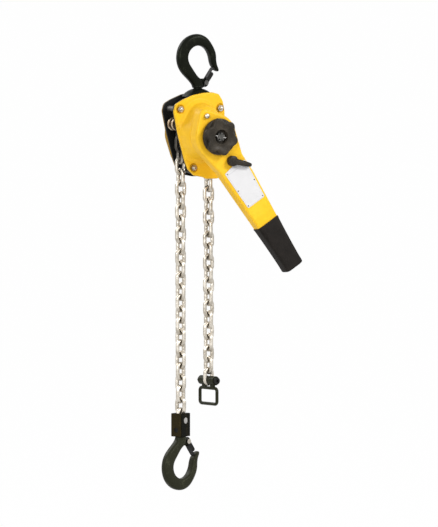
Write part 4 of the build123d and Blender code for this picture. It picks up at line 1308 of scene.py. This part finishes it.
@dataclass
class HandWheel:
    """The moulded hand wheel: a round skirt, six lobes in front of it, a dished face and the nut's recess."""

    skirt: float = 33.5
    lobe: float = 34.8
    valley: float = 27.0
    turn: float = 44.0
    back: float = -95.5
    waist: float = -101.5
    front: float = -110.2
    bore: float = 5.1
    heel: float = 2.2
    lip: float = 1.6
    crown: Pair = (3.4, 3.2)
    recess: float = 18.0
    around: int = 240

    def reach(self, theta: np.ndarray) -> np.ndarray:
        """How far the lobed outline reaches: full at six lobes, with narrower valleys between."""
        wave = 0.5 + 0.5 * np.cos(6 * (theta - math.radians(self.turn)))
        return self.valley + (self.lobe - self.valley) * wave**0.8

    def build(self) -> None:
        """Builds the wheel ring by ring, from the back's middle over the skirt and lobes to the recess."""
        theta = circle_of(self.around)
        lobed, even = self.reach(theta), 0.0 * theta + 1.0
        rings = [(even * self.bore, self.back), (even * (self.skirt - self.heel), self.back)]
        for turn in np.radians([22, 45, 68, 90]):
            out, up = self.heel * (1 - math.sin(turn)), self.heel * (1 - math.cos(turn))
            rings.append((even * (self.skirt - out), self.back - up))
        for turn in np.radians([0, 30, 60, 90]):
            out, up = self.lip * (1 - math.cos(turn)), self.lip * math.sin(turn)
            rings.append((even * (self.skirt - out), self.waist + 0.8 - up))
        inner = np.minimum(lobed, self.skirt - 2.0)
        for share in (0.4, 0.8, 1.0):
            radius = (1 - share) * (self.skirt - self.lip) + share * inner
            rings.append((radius, self.waist - 0.9 - 0.5 * share))
        for share in (0.5, 1.0):
            rings.append((inner + share * (lobed - inner), self.waist - 1.4 - 0.9 * share))
        over, deep = self.crown
        for turn in np.radians([0, 15, 30, 45, 60, 75, 90]):
            rings.append((lobed - over * (1 - math.cos(turn)), self.front + deep * (1 - math.sin(turn))))
        for share, drop in ((0.25, 0.25), (0.5, 0.9), (0.75, 1.7), (1.0, 2.3)):
            rings.append(((1 - share) * (lobed - over) + share * even * self.recess, self.front + drop))
        recess = ((15.2, 2.2), (14.2, 1.9), (13.4, 2.1), (13.0, 2.8), (12.8, 10.7), (self.bore, 10.7))
        rings += [(even * radius, self.front + drop) for radius, drop in recess]
        grid = np.stack([ring(theta, radius, level) for radius, level in rings])
        wheel = Shell.of_grid(grid, rows_meet=True)
        wheel.piece("moulded_wheel", Finish.PLASTIC, "drive", "black_plastic", ["hand_wheel"], 35.0)


@dataclass
class Selector:
    """The selector lever: a turned boss with a domed top, and a tapered arm."""

    along: float = 53.0
    swung: float = 45.5
    front: float = -103.2
    middle: float = 17.0
    half_length: float = 20.6
    half_width: float = 5.7
    taper: float = 1.4

    def build(self) -> None:
        """Builds the selector in place of its plain CAD shape, with its spindle."""
        theta = circle_of(96)
        x = self.middle + bulged(np.cos(theta), 0.8) * self.half_length
        share = np.clip((x + 3.6) / 41.0, 0.0, 1.0)
        z = bulged(np.sin(theta), 0.48) * (self.half_width - self.taper * share)
        arm = puck(np.column_stack([x, z]), (self.middle, 0.0), self.front + 4.6, self.front, 1.5, dome=0.7)
        boss = [(0.1, -94.1), (9.0, -94.1), (9.6, -94.7), (9.6, self.front + 1.6)]
        boss += rounded(1.6, 9.6, self.front - 0.4, (1, -1))
        boss += [(6.0, self.front - 1.0), (3.0, self.front - 1.3), (0.1, self.front - 1.4)]
        spindle = [(0.1, -68.1), (4.0, -68.1), (4.0, -90.0), (6.0, -90.6), (6.0, -94.0)]
        whole = arm + lathe(boss) + lathe(spindle)
        lever = on_arm(whole.turned("y", -self.swung).moved(self.along, 0.0, 0.0))
        lever.piece("moulded_selector", Finish.PLASTIC, "selector", "black_plastic", ["selector_lever"])


# --- studio -------------------------------------------------------------------------------------
WHITE = (1.0, 1.0, 1.0)

# Each lamp's name, place, size and power.
LAMPS = (
    ("key", (1.5, -2.4, 1.6), 1.0, 74.0),
    ("fill", (-2.3, -2.3, 0.7), 1.2, 54.0),
    ("rim", (-1.4, 2.2, 1.6), 1.4, 40.0),
)


@dataclass
class Studio:
    """The camera, lamps, world and floor."""

    azimuth: float = -29.0
    elevation: float = 3.6
    camera_at: tuple[float, float, float] = (-5.76149, -10.47473, 0.37321)
    lens: float = 444.5
    daylight: float = 0.36
    floor_z: float = -1.02
    floor_half: float = 90.0

    @staticmethod
    def aim(made: bpy.types.Object, place: Sequence[float], way: Vector) -> None:
        """Stands a camera or a lamp up.

        Args:
            made: the camera or lamp.
            place: where it stands.
            way: the direction in which it looks.
        """
        made.location = place
        made.rotation_mode = "QUATERNION"
        made.rotation_quaternion = way.to_track_quat("-Z", "Y")

    def camera(self) -> None:
        """Puts the camera far off with a long lens, so that the view is nearly parallel."""
        data = bpy.data.cameras.new("camera")
        data.lens = self.lens
        data.sensor_width = 36.0
        data.clip_start, data.clip_end = 0.5, 200.0
        camera = added("camera", data)
        turn, rise = math.radians(self.azimuth), math.radians(self.elevation)
        back = Vector((math.sin(turn) * math.cos(rise), -math.cos(turn) * math.cos(rise), math.sin(rise)))
        self.aim(camera, self.camera_at, -back)
        bpy.context.scene.camera = camera

    def lamp(self, name: str, place: Sequence[float], size: float, power: float) -> None:
        """Adds a square soft light that faces the hoist's middle.

        Args:
            name: its name.
            place: where it stands.
            size: the length of its side.
            power: its power in watts.
        """
        data = bpy.data.lights.new(name, "AREA")
        data.size, data.energy = size, power
        self.aim(added(name, data), place, Vector((0.0, -0.05, -0.30)) - Vector(place))

    def world(self) -> None:
        """Lights the scene evenly, and shows white to the camera and in anything bright or clear."""
        world = bpy.data.worlds.new("studio")
        bpy.context.scene.world = world
        world.use_nodes = True
        tree = NodeTree(world.node_tree)
        light, shown = (
            tree.node("ShaderNodeBackground", {"Color": WHITE, "Strength": level}).outputs[0]
            for level in (self.daylight, 1.0)
        )
        mix = tree.node("ShaderNodeMixShader", {0: tree.seen(), 1: light, 2: shown})
        tree.node("ShaderNodeOutputWorld", {"Surface": mix.outputs[0]})

    def floor(self) -> None:
        """Lays a wide pale floor below the hoist, white to the camera away from the hoist's shadow."""
        half, z = self.floor_half, self.floor_z
        corners = [(-half, -half, z), (half, -half, z), (half, half, z), (-half, half, z)]
        mesh = bpy.data.meshes.new("floor")
        mesh.from_pydata(corners, [], [(0, 1, 2, 3)])
        floor = added("floor", mesh)
        shader = Shader("pale floor")
        glow = shader.node("ShaderNodeEmission", {"Color": WHITE, "Strength": 1.0})
        cloud = shader.noise(3.0)
        shader.finish(Base_Color=shader.blend(cloud, (0.84, 0.84, 0.84), (0.88, 0.88, 0.88)), Roughness=0.9)
        ends = {0: shader.position, 1: (-0.04, 0.0, z)}
        below = shader.node("ShaderNodeVectorMath", ends, operation="DISTANCE")
        away = Value(shader, below.outputs["Value"]).over(0.30, 0.12)
        seen = shader.seen() * (0.9 + 0.09 * away)
        shown = {0: seen, 1: shader.principled.outputs[0], 2: glow.outputs[0]}
        mix = shader.node("ShaderNodeMixShader", shown)
        shader.put(shader.output, "Surface", mix.outputs[0])
        floor.data.materials.append(shader.material)

    def build(self) -> None:
        """Builds the whole studio."""
        self.camera()
        self.world()
        self.floor()
        for lamp in LAMPS:
            self.lamp(*lamp)
        bpy.context.scene.view_settings.view_transform = "Standard"


# --- pieces -------------------------------------------------------------------------------------
# X and Z of the centres of the two hooks' bowls, in millimetres from the sheave's axis.
TOP_BOWL = (9.5, 141.5)
LOAD_BOWL = (Chain().load_top[0], -610.8)
PARTS = (
    Chain(),
    Hook("top_hook", "hook", TOP_BOWL),
    Hook("bottom_hook", "load_hook", LOAD_BOWL, hangs=True, turn=13.0, shank=6.0),
    LatchSpring("top_latch_spring", "hook", TOP_BOWL),
    LatchSpring("bottom_latch_spring", "load_hook", LOAD_BOWL, hangs=True, turn=13.0),
    Cover(),
    Stays(),
    Grip(),
    HandWheel(),
    Selector(),
)


def main() -> None:
    """Builds every piece in order and reports each one."""
    logging.basicConfig(level=logging.INFO, format="%(name)s: %(message)s")
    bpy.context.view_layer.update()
    log.info("dressed %d CAD nodes", dress_cad_nodes())
    for part in PARTS:
        part.build()
        log.info("built %s", part)
    Studio().build()
    log.info("studio ready")


if __name__ == "__main__":
    main()
